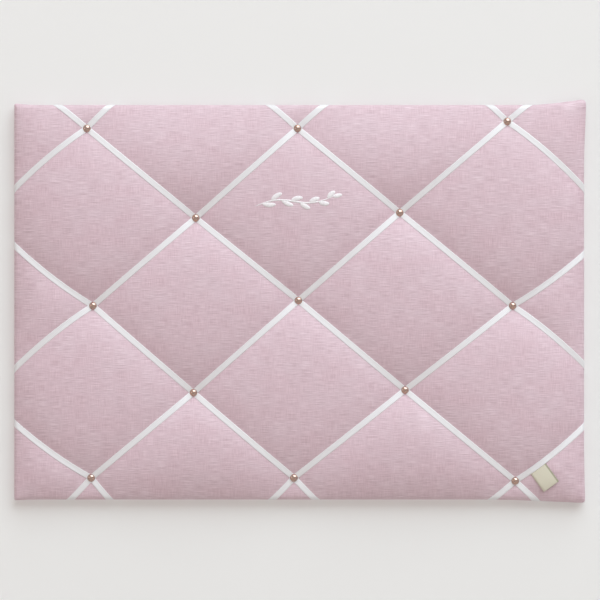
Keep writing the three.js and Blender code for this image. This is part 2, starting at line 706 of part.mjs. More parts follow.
// Materials
const finish = (color, roughness, metalness = 0) =>
  new THREE.MeshStandardMaterial({ color, roughness, metalness, flatShading: true });
const plywood = finish("#c9a877", 0.8);
const fleece = finish("#f2efe9", 1);
const linen = finish("#cbaeb6", 0.95);
const satin = finish("#e6e7e9", 0.45);
const copper = finish("#b06a3c", 0.25, 1);
const felt = finish("#d8d0c4", 1);
const steel = finish("#b9bbbd", 0.35, 1);
const tape = finish("#cdd1b4", 0.8);

const board = new THREE.Group();
function add(name, geometry, material) {
  const mesh = new THREE.Mesh(geometry, material);
  mesh.name = name;
  board.add(mesh);
}

// The core, wadding and cover share the nail holes
const face = facePatch();
const nailHoles = studs.map(nailHole);
const legHoles = staples.flatMap(stapleLegHoles);
const screwHoles = [-HANGER_X, HANGER_X].map(screwHole);
const coreHoles = [...nailHoles, ...legHoles, ...screwHoles];
add("core_board", cut(block(CORE_EDGE_R, Y_FRONT, Y_BACK), coreHoles), plywood);

const padding = facePatch();
skirt(padding, [...coverRoll, { out: ROLL_R, y: Y_BACK, turnOut: 1, turnBack: 0 }]);
const pocket = block(CORE_EDGE_R + GAP, Y_FRONT - GAP, Y_BACK + EDGE_PAD);
add("wadding", cut(filled(padding, -COVER_T - GAP), [pocket, ...nailHoles]), fleece);

const cloth = facePatch();
skirt(cloth, [...coverRoll, backCorner, hemEnd]);
add("linen_cover", cut(layer(cloth, -COVER_T, 0), [...nailHoles, ...legHoles]), linen);

for (const ribbon of ribbons) {
  add(ribbon.name, cut(layer(ribbonPatch(ribbon), GAP, GAP + RIBBON_T), nailHoles), satin);
}
studs.forEach((stud, index) => add(`stud_${index + 1}`, nail(stud), copper));
staples.forEach((wire, index) => add(`ribbon_staple_${index + 1}`, staple(wire), steel));

add("back_lining", lining(), felt);
for (const [side, x] of [["left", -HANGER_X], ["right", HANGER_X]]) {
  add(`hanger_strap_${side}`, strap(x), steel);
  add(`hanger_ring_${side}`, ring(x), steel);
  add(`hanger_screw_${side}`, screw(x), steel);
}
add("label_tab", label(face), tape);

export default board;
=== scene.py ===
# %% [markdown]
# # A french memo board
# The real board is a sheet of plywood, padded with fleece wadding and covered with linen. Satin ribbon
# is laced over it both ways and a copper dome nail pulls each crossing down, so the face swells into
# pillows between the ribbons, and notes are pushed under the ribbons.
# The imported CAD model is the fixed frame. Nails, staples, hangers and edges are read from its nodes, so
# that the soft pieces made here sit where the CAD model says. Lengths are in millimetres until a mesh
# is made.

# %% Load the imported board
import math

import bpy
import numpy as np
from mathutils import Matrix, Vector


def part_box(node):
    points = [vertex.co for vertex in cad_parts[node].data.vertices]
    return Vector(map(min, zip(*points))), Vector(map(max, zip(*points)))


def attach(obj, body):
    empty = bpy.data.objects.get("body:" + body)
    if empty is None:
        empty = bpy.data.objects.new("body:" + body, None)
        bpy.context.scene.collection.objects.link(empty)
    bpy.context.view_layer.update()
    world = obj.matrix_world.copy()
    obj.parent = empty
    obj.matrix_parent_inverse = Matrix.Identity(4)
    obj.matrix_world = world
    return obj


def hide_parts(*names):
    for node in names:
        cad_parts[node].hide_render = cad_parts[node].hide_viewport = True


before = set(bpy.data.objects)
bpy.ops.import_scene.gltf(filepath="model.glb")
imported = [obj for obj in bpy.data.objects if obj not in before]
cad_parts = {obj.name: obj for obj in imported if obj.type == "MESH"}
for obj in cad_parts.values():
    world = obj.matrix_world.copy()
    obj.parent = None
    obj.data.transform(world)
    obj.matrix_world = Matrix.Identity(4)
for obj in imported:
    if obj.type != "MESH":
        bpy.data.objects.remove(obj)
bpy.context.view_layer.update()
MM = 0.001


def corners_mm(node):
    """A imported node's lowest and highest corners, in millimetres."""
    low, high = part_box(node)
    return np.array(low) / MM, np.array(high) / MM


# %% [markdown]
# ## The frame's sizes
# The linen goes over the face, round the rolled edge, down the side and under to the hem on the back.
# It helps to lay that cloth out flat: a place on it has two unrolled coordinates, a to the right and b
# up, and whatever goes past the face's edge is a run of cloth that goes round the profile of the edge.

# %% Sizes of the board
_, cover_high = corners_mm("linen_cover")
core_low, core_high = corners_mm("core_board")
HALF_W = cover_high[0]
HALF_H = cover_high[2]
HEM_Y = cover_high[1]
CORE_FRONT = core_low[1]
CORE_BACK = core_high[1]
CORE_EDGE_R = 6.0
CORE_FACE = core_high[[0, 2]] - CORE_EDGE_R
SOLID_ROLL = CORE_EDGE_R + HALF_W - core_high[0]
ROLL_R = 4.0
EDGE_PAD = 3.0
HALF = np.array([HALF_W, HALF_H])
FACE = HALF - ROLL_R
FACE_X, FACE_Z = FACE
FACE_Y = CORE_FRONT - EDGE_PAD
BACK_R = 1.3
HEM_W = 32.0
COVER_T = 0.8
QUARTER = ROLL_R * math.pi / 2
RIM_RUN = 0.6 * QUARTER
TURN_POINTS = 33
print("face", FACE_X, FACE_Z, "edge roll", ROLL_R, "face plane", FACE_Y)


def lengths_along(points):
    """The distance along a line of points to each of them: the running sum of the steps between them."""
    return np.concatenate([[0.0], np.cumsum(np.hypot(*np.diff(points, axis=0).T))])


def edge_profile(radius, front, back_radius, back, hem):
    """The edge as points along a run of cloth: a quarter circle, a straight side, a small quarter circle
    and a flat hem. Columns are the run, the distance out, the depth and the outward direction."""
    turn = np.linspace(0, math.pi / 2, TURN_POINTS)
    rolled = np.stack([radius * np.sin(turn), front + radius * (1 - np.cos(turn)),
                       np.sin(turn), -np.cos(turn)], 1)
    corner = np.stack([radius - back_radius * (1 - np.cos(turn)),
                       back - back_radius * (1 - np.sin(turn)), np.cos(turn), np.sin(turn)], 1)
    end = np.array([[radius - hem, back, 0.0, 1.0]])
    whole = np.concatenate([rolled, corner, end])
    return np.column_stack([lengths_along(whole[:, :2]), whole])


COVER_EDGE = edge_profile(ROLL_R, FACE_Y, BACK_R, HEM_Y, HEM_W)
HEM_RUN = COVER_EDGE[-1, 0]
BACK_RUN = HEM_RUN - HEM_W + BACK_R


def around(profile, run):
    """Distance out, depth and outward direction at each run, by straight lines between the points."""
    return [np.interp(run, profile[:, 0], profile[:, column]) for column in (1, 2, 3, 4)]


# %% [markdown]
# ## Where the ribbons run
# Five ribbons fall to the right and five rise. Each is pulled tight from nail to nail, goes over the
# edge and is stapled on the back. Laid out flat, a stretch between two nails is a straight line. The
# last stretch, from a nail to the edge, bows a little along the edge.

# %% Nails, staples and routes
STUD_COUNT = 13
STEPS = 5
RIBBON_W = 6.6
RIBBON_T = 0.22
RIBBON_TAIL = 17.0
EDGE_BOW = 0.00028


def middle(node):
    """The middle of a node's box, seen from the front."""
    low, high = corners_mm(node)
    return ((low + high) / 2)[[0, 2]]


marks = [(column, row) for row in range(STEPS) for column in range(row % 2, STEPS, 2)]
studs = {mark: middle(f"stud_{n + 1}") for n, mark in enumerate(marks)}


def chain(start, fall):
    """The nails that a ribbon passes, from its first one to the right."""
    column, row = start
    found = []
    while (column, row) in studs:
        found.append(studs[column, row])
        column += 1
        row += fall
    return found


def unrolled(staple):
    """A staple's place on the flat cloth, and the way out across its edge."""
    gap = HALF - np.abs(staple)
    axis = int(np.argmin(gap))
    out = np.zeros(2)
    out[axis] = np.sign(staple[axis])
    place = staple.copy()
    place[axis] = out[axis] * (FACE[axis] + BACK_RUN + gap[axis])
    return place, out


def over_edge(stud, place, out):
    """Where a ribbon goes over the edge: its straight way to the staple crosses the outermost line of
    the solids' rounder edge there, and this spot is as far along the tighter edge."""
    solid_limit = HALF @ np.abs(out) + SOLID_ROLL * (math.pi / 2 - 1)
    spot = stud + (place - stud) * (solid_limit - stud @ out) / ((place - stud) @ out)
    limit = FACE @ np.abs(out) + QUARTER
    return spot + out * (limit - spot @ out)


def bowed(start, end, bow, share):
    """A point on a stretch: on the straight line from its start to its end, plus the bow times a
    parabola that is one in the middle."""
    share = np.asarray(share)[..., None]
    return start + share * (end - start) + 4 * share * (1 - share) * bow


def edge_bow(stud, spot, out):
    """How far, and which way, the middle of an outer stretch lies off its straight line: by its length
    squared, along the edge, so that it leaves the nail squarer to the edge and reaches it more slanting."""
    way = spot - stud
    aside = (way @ out) * out - way
    return EDGE_BOW * (way @ way) * aside / np.linalg.norm(aside)


FALLING = [(0, 4), (0, 2), (0, 0), (2, 0), (4, 0)]
RISING = [(0, 0), (0, 2), (0, 4), (2, 4), (4, 4)]
ribbons = []
for name, starts, fall in (("falling", FALLING, 1), ("rising", RISING, -1)):
    for number, start in enumerate(starts):
        first = 2 * len(ribbons) + 1
        ends = [unrolled(middle(f"ribbon_staple_{first + k}")) for k in (0, 1)]
        line = chain(start, fall)
        edges = [over_edge(stud, *end) for stud, end in zip((line[0], line[-1]), ends)]
        ribbons.append({"name": f"ribbon_{name}_{number + 1}", "studs": line, "ends": ends, "edges": edges})
print(len(ribbons), "ribbons over", len(studs), "nails")

# %% [markdown]
# ## The height that the ribbons hold
# A ribbon is lowest at its nails, where it is pulled down to the core, and the wadding lifts it into a
# low arch in between, with a sharper dip close to each nail. Past the last nail it comes down to the
# board's edge. Heights here are measured from the plane of the face's edge.

# %% Heights along the stretches
STUD_DIP = 1.6
ARCH = 9.2
DIMPLE = 1.8
DIMPLE_REACH = 12.0
NEAREST = 0.5
FULL_STRETCH = float(np.linalg.norm(studs[1, 1] - studs[2, 2]))


def inner_height(share, length):
    """Between two nails: the dip at the nails, plus a parabola, plus a part that grows from zero at
    each nail with one minus an exponential of the distance."""
    near = np.exp(-share * length / DIMPLE_REACH)
    far = np.exp(-(1 - share) * length / DIMPLE_REACH)
    return STUD_DIP + ARCH * 4 * share * (1 - share) + DIMPLE * (1 - near) * (1 - far)


def outer_height(share, length):
    """From a nail to the edge: a straight way down, plus a parabola that is lower where the stretch is
    shorter, plus the part that grows from zero at the nail."""
    rise = ARCH * min(1.0, length / FULL_STRETCH) ** 1.5
    grown = DIMPLE * (1 - np.exp(-share * length / DIMPLE_REACH))
    return (STUD_DIP + rise * 4 * share + grown) * (1 - share)


stretches = []
for ribbon in ribbons:
    line = ribbon["studs"]
    stretches += [(one, two, np.zeros(2), inner_height) for one, two in zip(line, line[1:])]
    for stud, spot, (_, out) in zip((line[0], line[-1]), ribbon["edges"], ribbon["ends"]):
        limit = FACE @ np.abs(out) + RIM_RUN
        share = (limit - stud @ out) / ((spot - stud) @ out)
        stretches.append((stud, stud + share * (spot - stud), edge_bow(stud, spot, out), outer_height))
print(len(stretches), "stretches of ribbon")


def ribbon_field(a, b):
    """Distance to the nearest ribbon's middle line, and the height that the ribbons hold: each
    stretch's own height, weighed by one over the fourth power of its distance, to which half a
    millimetre is added."""
    nearest = np.full(np.shape(a), np.inf)
    total = np.zeros(np.shape(a))
    weight = np.zeros(np.shape(a))
    for start, end, bow, height in stretches:
        way = end - start
        share = np.clip(((a - start[0]) * way[0] + (b - start[1]) * way[1]) / (way @ way), 0, 1)
        spot = bowed(start, end, bow, share)
        away = np.hypot(a - spot[..., 0], b - spot[..., 1])
        pull = 1 / (away + NEAREST) ** 4
        total += pull * height(share, float(np.linalg.norm(way)))
        weight += pull
        nearest = np.minimum(nearest, away)
    return nearest, total / weight


# %% [markdown]
# ## The quilted face, settled as a membrane
# Free wadding would stand at one height everywhere, and the ribbons hold the linen down along their
# lines. A stretched cloth on such a spring is a membrane: each point rests between the mean height of its
# neighbours and the wadding's free height, and the wadding's give says how far a ribbon's pull reaches.
# Near the edge, where the linen is pulled over, the wadding is pressed thin and its free height is lower:
# most of all at the top, which was pulled first and hardest.
# Blender's Cloth can do this too, but a membrane settles on a plain grid in a second, is the same in each
# run, and can't wander off the ribbons. The ribbons hold their lines softly, so that the grid's steps
# don't show along a slanting line.

# %% Settle the membrane
CELL = 2.5
FREE_HEIGHT = 23.4
TOP_THINNING = 20.0
EDGE_THINNING = 4.0
EDGE_REACH = 40.0
GIVE = 25.0
HOLD = 40.0
HOLD_REACH = 3.0
SWEEPS = 300
OVERSHOOT = 1.85
reach_a = FACE_X + RIM_RUN
reach_b = FACE_Z + RIM_RUN
line_a = np.linspace(-reach_a, reach_a, 2 * round(reach_a / CELL) + 1)
line_b = np.linspace(-reach_b, reach_b, 2 * round(reach_b / CELL) + 1)
grid_a, grid_b = np.meshgrid(line_a, line_b, indexing="ij")
line_distance, line_height = ribbon_field(grid_a, grid_b)
hold = HOLD * np.exp(-(line_distance / HOLD_REACH) ** 4)
edge_gap = np.minimum(reach_a - np.abs(grid_a), reach_b + grid_b)
thinning = np.maximum(EDGE_THINNING * np.exp(-edge_gap / EDGE_REACH),
                      TOP_THINNING * np.exp(-(reach_b - grid_b) / EDGE_REACH))
free_height = FREE_HEIGHT - thinning
checker = np.add.outer(np.arange(len(line_a)), np.arange(len(line_b))) % 2


def settle():
    """Points of one colour of a checkerboard, then of the other, move past the mean of their four
    neighbours, the ribbons' height where they hold, and the wadding's free height, weighed by how stiff
    each is. The rim stays at zero."""
    stiff = (CELL / GIVE) ** 2
    field = np.zeros_like(hold)
    inside = field[1:-1, 1:-1]
    weight = 4 + hold[1:-1, 1:-1] + stiff
    aim = (hold * line_height + stiff * free_height)[1:-1, 1:-1]
    for _ in range(SWEEPS):
        for colour in (0, 1):
            around_it = field[:-2, 1:-1] + field[2:, 1:-1] + field[1:-1, :-2] + field[1:-1, 2:]
            moved = (around_it + aim) / weight - inside
            inside += OVERSHOOT * moved * (checker[1:-1, 1:-1] == colour)
    return field


membrane = settle()
print("membrane from", round(membrane.min(), 2), "to", round(membrane.max(), 2), "mm")

# %% [markdown]
# ## The cloth between the grid's points
# The pieces below need the cloth's height anywhere, so the settled grid is read as a smooth surface.
# The spare cloth of each corner is folded in, which makes the edges stand out towards the corners: by
# one or two millimetres at the left, and by several at the right.

# %% Read the settled cloth anywhere
CREASE = 6.5
TAPS = range(4)
FOLD_GROWTH = 1.4
LONG_EDGE_FOLDS = {
    (-1, 1): (1.8, 25.0), (1, 1): (6.6, 60.0), (-1, -1): (1.0, 30.0), (1, -1): (4.0, 110.0)}
SHORT_EDGE_FOLDS = {(1, 1): (2.4, 70.0), (-1, 1): (1.2, 60.0)}


def ease_between(value, low, high):
    """A smooth step from zero to one."""
    share = np.clip((value - low) / (high - low), 0, 1)
    return share * share * (3 - 2 * share)


def spline_weights(share):
    """The four weights of a cubic B-spline at a share of a cell."""
    return np.stack([(1 - share) ** 3, 3 * share ** 3 - 6 * share ** 2 + 4,
                     -3 * share ** 3 + 3 * share ** 2 + 3 * share + 1, share ** 3]) / 6


def settled(a, b):
    """The membrane between its grid points, as a smooth cubic B-spline, and zero outside the grid."""
    near_a = np.clip((a - line_a[0]) / (line_a[1] - line_a[0]), 0, len(line_a) - 1)
    near_b = np.clip((b - line_b[0]) / (line_b[1] - line_b[0]), 0, len(line_b) - 1)
    cell_a = np.floor(near_a).astype(int)
    cell_b = np.floor(near_b).astype(int)
    weight_a = spline_weights(near_a - cell_a)
    weight_b = spline_weights(near_b - cell_b)
    padded_field = np.pad(membrane, 2)
    found = np.zeros(np.shape(a))
    for one in TAPS:
        for two in TAPS:
            found = found + weight_a[one] * weight_b[two] * padded_field[cell_a + one + 1, cell_b + two + 1]
    return found


def puff(a, b):
    """How far the cloth stands forward of the rounded board: the ribbons' height on their lines, going
    over to the membrane's across a soft crease."""
    away, held = ribbon_field(a, b)
    ease = ease_between(away, 0.0, CREASE)
    inside = (np.abs(a) < reach_a) & (np.abs(b) < reach_b)
    return np.where(inside, held + (settled(a, b) - held) * ease, 0.0)


def pleat(folds, along, half, over, turned, run):
    """How far the folded cloth of the corners stands out over an edge: it grows along the edge towards
    its corner, and round the roll from nothing at the face. A fold is named by the end of the edge and
    the side of the board that it lies on, and has a height and a length."""
    bulge = np.zeros(np.shape(along))
    for (end, side), (height, length) in folds.items():
        near = np.clip(1 - (half - end * along) / length, 0, 1) ** FOLD_GROWTH
        bulge += height * near * (side * over > 0)
    return bulge * np.clip(np.abs(turned), 0, 1) * ease_between(run, 0.0, QUARTER)


def on_cloth(places, lift):
    """Points in millimetres on the cloth at unrolled places: the edge's profile with the corners' folds,
    moved forward by the puff and lifted along the profile's outward direction. It serves away from the
    corners themselves."""
    a = places[..., 0]
    b = places[..., 1]
    past_a = np.abs(a) - FACE_X
    past_b = np.abs(b) - FACE_Z
    run = np.maximum(np.maximum(past_a, past_b), 0)
    out, depth, turn_out, turn_back = around(COVER_EDGE, run)
    shift = out + turn_out * lift
    sideways = (run > 0) & (past_a >= past_b)
    upright = (run > 0) & ~sideways
    wider = pleat(SHORT_EDGE_FOLDS, b, HALF_H, a, 1.0, run)
    taller = pleat(LONG_EDGE_FOLDS, a, HALF_W, b, 1.0, run)
    x = np.where(sideways, np.sign(a) * (FACE_X + shift + wider), a)
    z = np.where(upright, np.sign(b) * (FACE_Z + shift + taller), b)
    return np.stack([x, depth + turn_back * lift - puff(a, b), z], -1)


pillow_middle = (studs[1, 1] + studs[1, 3]) / 2
print("a pillow stands forward", round(float(puff(*pillow_middle)), 1), "mm")

# %% [markdown]
# ## Making meshes from arrays
# All soft pieces are thin: a layer of points with a second layer under it. So one function takes two
# layers with the same faces and closes them into a thin body, and another puts points, faces, a UV map
# in metres and a material into a Blender object at the origin.

# %% Mesh helpers
def signed_volume(points, faces):
    """A closed body's volume, a sixth of the sum of its triangles' triple products: below zero if its
    faces point inwards."""
    total = 0.0
    for part in faces:
        for k in range(1, part.shape[1] - 1):
            one, two, three = points[part[:, 0]], points[part[:, k]], points[part[:, k + 1]]
            total += np.sum(one * np.cross(two, three)) / 6
    return total


def new_object(name, data):
    """A Blender object with this data, linked to the scene."""
    made = bpy.data.objects.new(name, data)
    bpy.context.scene.collection.objects.link(made)
    return made


def put_piece(name, points_mm, faces, material, body="board", flat=None):
    """A smooth mesh object from points in millimetres and lists of faces, which are turned to point
    outwards. flat gives the places of one layer's points on the flat cloth, in millimetres, which become
    the UVs of both layers in metres."""
    turned = 1 if signed_volume(points_mm, faces) > 0 else -1
    mesh = bpy.data.meshes.new(name)
    mesh.from_pydata((points_mm * MM).tolist(), [], [f for part in faces for f in part[:, ::turned].tolist()])
    mesh.polygons.foreach_set("use_smooth", np.ones(len(mesh.polygons), bool))
    if flat is not None:
        corner_of = np.zeros(len(mesh.loops), int)
        mesh.loops.foreach_get("vertex_index", corner_of)
        layer = mesh.uv_layers.new(name="cloth")
        layer.data.foreach_set("uv", (np.tile(flat, (2, 1))[corner_of] * MM).ravel())
    mesh.materials.append(material)
    mesh.validate()
    mesh.update()
    piece = new_object(name, mesh)
    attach(piece, body)
    return piece


def grid_faces(rows, columns, across=False, along=False):
    """Quads over a grid of points, joined up across or along where the grid closes on itself."""
    index = np.arange(rows * columns).reshape(rows, columns)
    if along:
        index = np.vstack([index, index[:1]])
    if across:
        index = np.hstack([index, index[:, :1]])
    return np.stack([index[:-1, :-1], index[1:, :-1], index[1:, 1:], index[:-1, 1:]], -1).reshape(-1, 4)


def two_layers(outer, inner):
    """A thin closed body from two grids of points: the outer one, the inner one turned round, and a
    strip along the rim."""
    rows, columns = outer.shape[:2]
    quads = grid_faces(rows, columns)
    index = np.arange(rows * columns).reshape(rows, columns)
    rim = np.concatenate([index[0, :-1], index[:-1, -1], index[-1, :0:-1], index[:0:-1, 0]])
    after = np.roll(rim, -1)
    size = rows * columns
    strip = np.stack([rim, after, after + size, rim + size], -1)
    points = np.concatenate([outer.reshape(-1, 3), inner.reshape(-1, 3)])
    return points, [quads, quads[:, ::-1] + size, strip]


def lathe_faces(rings, sides):
    """Faces of a turned shape: one point at each pole, and rings of points in between."""
    index = 1 + np.arange(rings * sides).reshape(rings, sides)
    turned = np.roll(index, -1, axis=1)
    quads = np.stack([index[:-1], turned[:-1], turned[1:], index[1:]], -1).reshape(-1, 4)
    top = np.stack([np.zeros(sides, int), turned[0], index[0]], -1)
    bottom = np.stack([np.full(sides, 1 + rings * sides), index[-1], turned[-1]], -1)
    return [quads, top, bottom]


# %% [markdown]
# ## Finishes
# Each finish starts from the real material. Colours are sRGB hex values, as a colour picker shows them,
# and one function turns them to the linear values that Blender's shaders need. Another function adds a
# node: a name in small letters is a property of the node, any other name or number is an input, and a
# pair of a node and its output makes a link. Three more make what the finishes share: a mix of two
# colours, noise in patches of a real size, and the fine ribs of a weave.

# %% Finish helpers
def linear(hex_colour):
    """An sRGB hex colour as linear red, green, blue and alpha."""
    srgb = np.array([int(hex_colour[k:k + 2], 16) for k in (1, 3, 5)]) / 255
    light = np.where(srgb <= 0.04045, srgb / 12.92, ((srgb + 0.055) / 1.055) ** 2.4)
    return (*light.tolist(), 1.0)


def add_node(tree, kind, settings):
    """Adds a node with its properties, input values and links."""
    node = tree.nodes.new(kind)
    for name, value in settings.items():
        if isinstance(name, str) and name.islower():
            setattr(node, name, value)
        elif isinstance(value, tuple) and isinstance(value[0], bpy.types.Node):
            tree.links.new(value[0].outputs[value[1]], node.inputs[name])
        else:
            node.inputs[name].default_value = value
    return node


def start_finish(name):
    """A new material with an empty node tree."""
    material = bpy.data.materials.new(name)
    material.use_nodes = True
    material.node_tree.nodes.clear()
    return material, material.node_tree


def end_finish(tree, shader):
    """Links a finish's shader to its output."""
    add_node(tree, "ShaderNodeOutputMaterial", {"Surface": (shader, 0)})


def mix_colours(tree, share, dark, light):
    """A node that mixes two hex colours by another node's first output."""
    return add_node(tree, "ShaderNodeMix", {
        "data_type": "RGBA", 0: (share, 0), 6: linear(dark), 7: linear(light)})


def patchy(tree, place, scale, settings):
    """Noise over a place, which is scaled so that one unit of it is one patch."""
    scaled = add_node(tree, "ShaderNodeMapping", {"Vector": place, "Scale": scale})
    return add_node(tree, "ShaderNodeTexNoise", {**settings, "Vector": (scaled, "Vector"), "Scale": 1.0})


def cross_ribs(tree, along, spacing, depth):
    """A bump of sine waves along a woven strip, with sizes in millimetres."""
    phase = add_node(tree, "ShaderNodeMath", {
        "operation": "MULTIPLY", 0: along, 1: 2 * math.pi / (spacing * MM)})
    waves = add_node(tree, "ShaderNodeMath", {"operation": "SINE", 0: (phase, 0)})
    return add_node(tree, "ShaderNodeBump", {"Strength": 0.3, "Distance": depth * MM, "Height": (waves, 0)})


# %% [markdown]
# ### Washed linen
# Linen yarn is spun from uneven flax, so some threads are thicker and paler for a centimetre or two.
# Those slubs are what the eye reads as linen. They lie along the threads, mostly across the board and in
# places up it. The cloth is matt, with a faint bloom where it turns away. The UV map is the flat cloth,
# so the threads follow the cloth over the edges.

# %% Washed linen
THREAD = 0.65  # mm; real threads are about half as wide, which wouldn't show in the render
SLUB = 15.0  # mm
PATCH = (45.0, 30.0)  # mm
linen, tree = start_finish("washed_linen")
flat_cloth = add_node(tree, "ShaderNodeUVMap", {"uv_map": "cloth"})
threads = {}
for name, size in (("weft", (SLUB, THREAD)), ("warp", (THREAD, SLUB)), ("patch", PATCH)):
    noise = patchy(tree, (flat_cloth, "UV"), (1 / (size[0] * MM), 1 / (size[1] * MM), 1.0),
                   {"noise_dimensions": "2D", "Detail": 3.0, "Roughness": 0.6})
    threads[name] = add_node(tree, "ShaderNodeMapRange", {
        "Value": (noise, 0), "From Min": 0.28, "From Max": 0.72})
which_way = add_node(tree, "ShaderNodeMapRange", {
    "Value": (threads["patch"], 0), "To Min": 0.1, "To Max": 0.5})
both = add_node(tree, "ShaderNodeMix", {
    "data_type": "FLOAT", 0: (which_way, 0), 2: (threads["weft"], 0), 3: (threads["warp"], 0)})
yarn = mix_colours(tree, both, "#c2a5af", "#ecd8e0")
tint = add_node(tree, "ShaderNodeMix", {
    "data_type": "RGBA", "blend_type": "MULTIPLY", 0: (threads["patch"], 0), 6: (yarn, 2),
    7: linear("#fdf8f9")})
raised = add_node(tree, "ShaderNodeBump", {"Strength": 0.35, "Distance": 0.25 * MM, "Height": (both, 0)})
linen_shader = add_node(tree, "ShaderNodeBsdfPrincipled", {
    "Base Color": (tint, 2), "Roughness": 0.6, "Sheen Weight": 0.1, "Sheen Roughness": 0.6,
    "IOR": 1.65, "Specular IOR Level": 0.65, "Normal": (raised, 0)})
end_finish(tree, linen_shader)
print("finish", linen.name)

# %% [markdown]
# ### Satin ribbon
# Polyester satin: fine yarns floated along the ribbon give a soft gloss that spreads across it, so the
# falling and the rising ribbons catch the light differently. The weft shows as faint ribs across it.
# Its two edges are woven denser, as a selvedge.

# %% Satin ribbon
RIB = 1.6  # mm; real ribs are about a third of that, which wouldn't show in the render
RIB_DEPTH = 0.12  # mm
STREAK_L = 14.0  # mm
STREAK_W = 0.7  # mm
satin, tree = start_finish("satin_ribbon")
along_ribbon = add_node(tree, "ShaderNodeUVMap", {"uv_map": "cloth"})
parts = add_node(tree, "ShaderNodeSeparateXYZ", {"Vector": (along_ribbon, "UV")})
streaks = patchy(tree, (along_ribbon, "UV"), (1 / (STREAK_L * MM), 1 / (STREAK_W * MM), 1.0),
                 {"noise_dimensions": "2D", "Detail": 2.0})
gloss = add_node(tree, "ShaderNodeMapRange", {
    "Value": (streaks, 0), "From Min": 0.3, "From Max": 0.7, "To Min": 0.46, "To Max": 0.58})
white = mix_colours(tree, streaks, "#e6e7e9", "#f2f2f4")
ribbed = cross_ribs(tree, (parts, "X"), RIB, RIB_DEPTH)
floats = add_node(tree, "ShaderNodeTangent", {"direction_type": "UV_MAP", "uv_map": "cloth"})
satin_shader = add_node(tree, "ShaderNodeBsdfPrincipled", {
    "Base Color": (white, 2), "Roughness": (gloss, 0), "IOR": 2.0, "Specular IOR Level": 0.8,
    "Anisotropic": 0.8, "Anisotropic Rotation": 0.25, "Tangent": (floats, 0), "Normal": (ribbed, 0)})
end_finish(tree, satin_shader)
print("finish", satin.name)

# %% [markdown]
# ### Copper, steel, felt, plywood and the small finishes
# The nails are copper-plated, a little browner in streaks, and clear lacquer gives them a pale highlight
# on top of the metal's own. The coat's IOR is far above a real lacquer's, because the soft lamp is
# dimmer than a window. The hangers, screws and staples are zinc-plated steel with a fine mottle. The
# lining is pressed wool felt, whose fibres lie every way. The plywood's face is birch with long grain, and
# its plies show as bands on an edge. These finishes read Object coordinates, because they don't follow
# a cloth. The label's tape does, so it reads its UV map.

# %% Rigid finishes
def mottled(name, dark, light, size_mm, roughness, metallic=0.0, bump=0.0, stretch=(1, 1, 1), detail=4.0,
            coat=0.0):
    """A finish whose colour and roughness wander between two values over patches of one real size."""
    material, nodes = start_finish(name)
    place = add_node(nodes, "ShaderNodeTexCoord", {})
    noise = patchy(nodes, (place, "Object"), [s / (size_mm * MM) for s in stretch],
                   {"Detail": detail, "Roughness": 0.6})
    spread = add_node(nodes, "ShaderNodeMapRange", {
        "Value": (noise, 0), "From Min": 0.3, "From Max": 0.7})
    colour = mix_colours(nodes, spread, dark, light)
    worn = add_node(nodes, "ShaderNodeMapRange", {
        "Value": (noise, 0), "To Min": roughness[0], "To Max": roughness[1]})
    raised_grain = add_node(nodes, "ShaderNodeBump", {
        "Strength": 0.4, "Distance": bump * MM, "Height": (noise, 0)})
    shader = add_node(nodes, "ShaderNodeBsdfPrincipled", {
        "Base Color": (colour, 2), "Roughness": (worn, 0), "Metallic": metallic,
        "Coat Weight": coat, "Coat Roughness": 0.14, "Coat IOR": 3.4, "Normal": (raised_grain, 0)})
    end_finish(nodes, shader)
    return material


copper = mottled("lacquered_copper", "#7d4420", "#b9743c", 2.5, (0.2, 0.32), metallic=1.0, coat=1.0)
zinc = mottled("zinc_plated_steel", "#8f9296", "#b9bcbf", 3.0, (0.28, 0.45), metallic=1.0, bump=0.02)
felt = mottled("pressed_wool_felt", "#c4bbae", "#ddd6ca", 1.8, (0.9, 1.0), bump=0.5, detail=6.0)
plywood = mottled("birch_plywood", "#b8935f", "#dcbf92", 4.0, (0.6, 0.75), bump=0.1, stretch=(0.06, 1.5, 1))
fleece = mottled("fleece_wadding", "#ebe8e2", "#f8f6f2", 6.0, (0.95, 1.0), bump=0.8, detail=6.0)
thread = mottled("cotton_thread", "#e4e2e4", "#fbfafb", 1.5, (0.5, 0.65), bump=0.1)
for material in (copper, zinc, felt, plywood, fleece, thread):
    print("finish", material.name)

# %% Woven tape
PICK = 1.1  # mm; real picks are about a third of that, which wouldn't show in the render
PICK_DEPTH = 0.1  # mm
STRIPE_FROM = 8.4  # mm from the tape's middle
STRIPE_FULL = 9.0
woven_tape, tree = start_finish("woven_tape")
along_tape = add_node(tree, "ShaderNodeUVMap", {"uv_map": "cloth"})
parts = add_node(tree, "ShaderNodeSeparateXYZ", {"Vector": (along_tape, "UV")})
stripe = add_node(tree, "ShaderNodeMapRange", {
    "Value": (parts, "Y"), "From Min": STRIPE_FROM * MM, "From Max": STRIPE_FULL * MM})
tape_colour = mix_colours(tree, stripe, "#dad7c3", "#a19f87")
tape_weave = cross_ribs(tree, (parts, "X"), PICK, PICK_DEPTH)
tape_shader = add_node(tree, "ShaderNodeBsdfPrincipled", {
    "Base Color": (tape_colour, 2), "Roughness": 0.7, "Normal": (tape_weave, 0)})
end_finish(tree, tape_shader)
print("finish", woven_tape.name)

# %% [markdown]
# ## The linen cover
# The cover is one cloth over the whole board. A square grid makes its face. From the face's rim, columns
# of points go round the edge to the hem, and at each corner a fan of extra columns turns the corner. The
# plan of each corner is a superellipse of a high power, nearly square, so that the cloth looks pulled
# tight over a square board.

# %% Carry a face round the edge
FAN = 7
SQUARENESS = 12.0
HEM_CORNER = 0.8


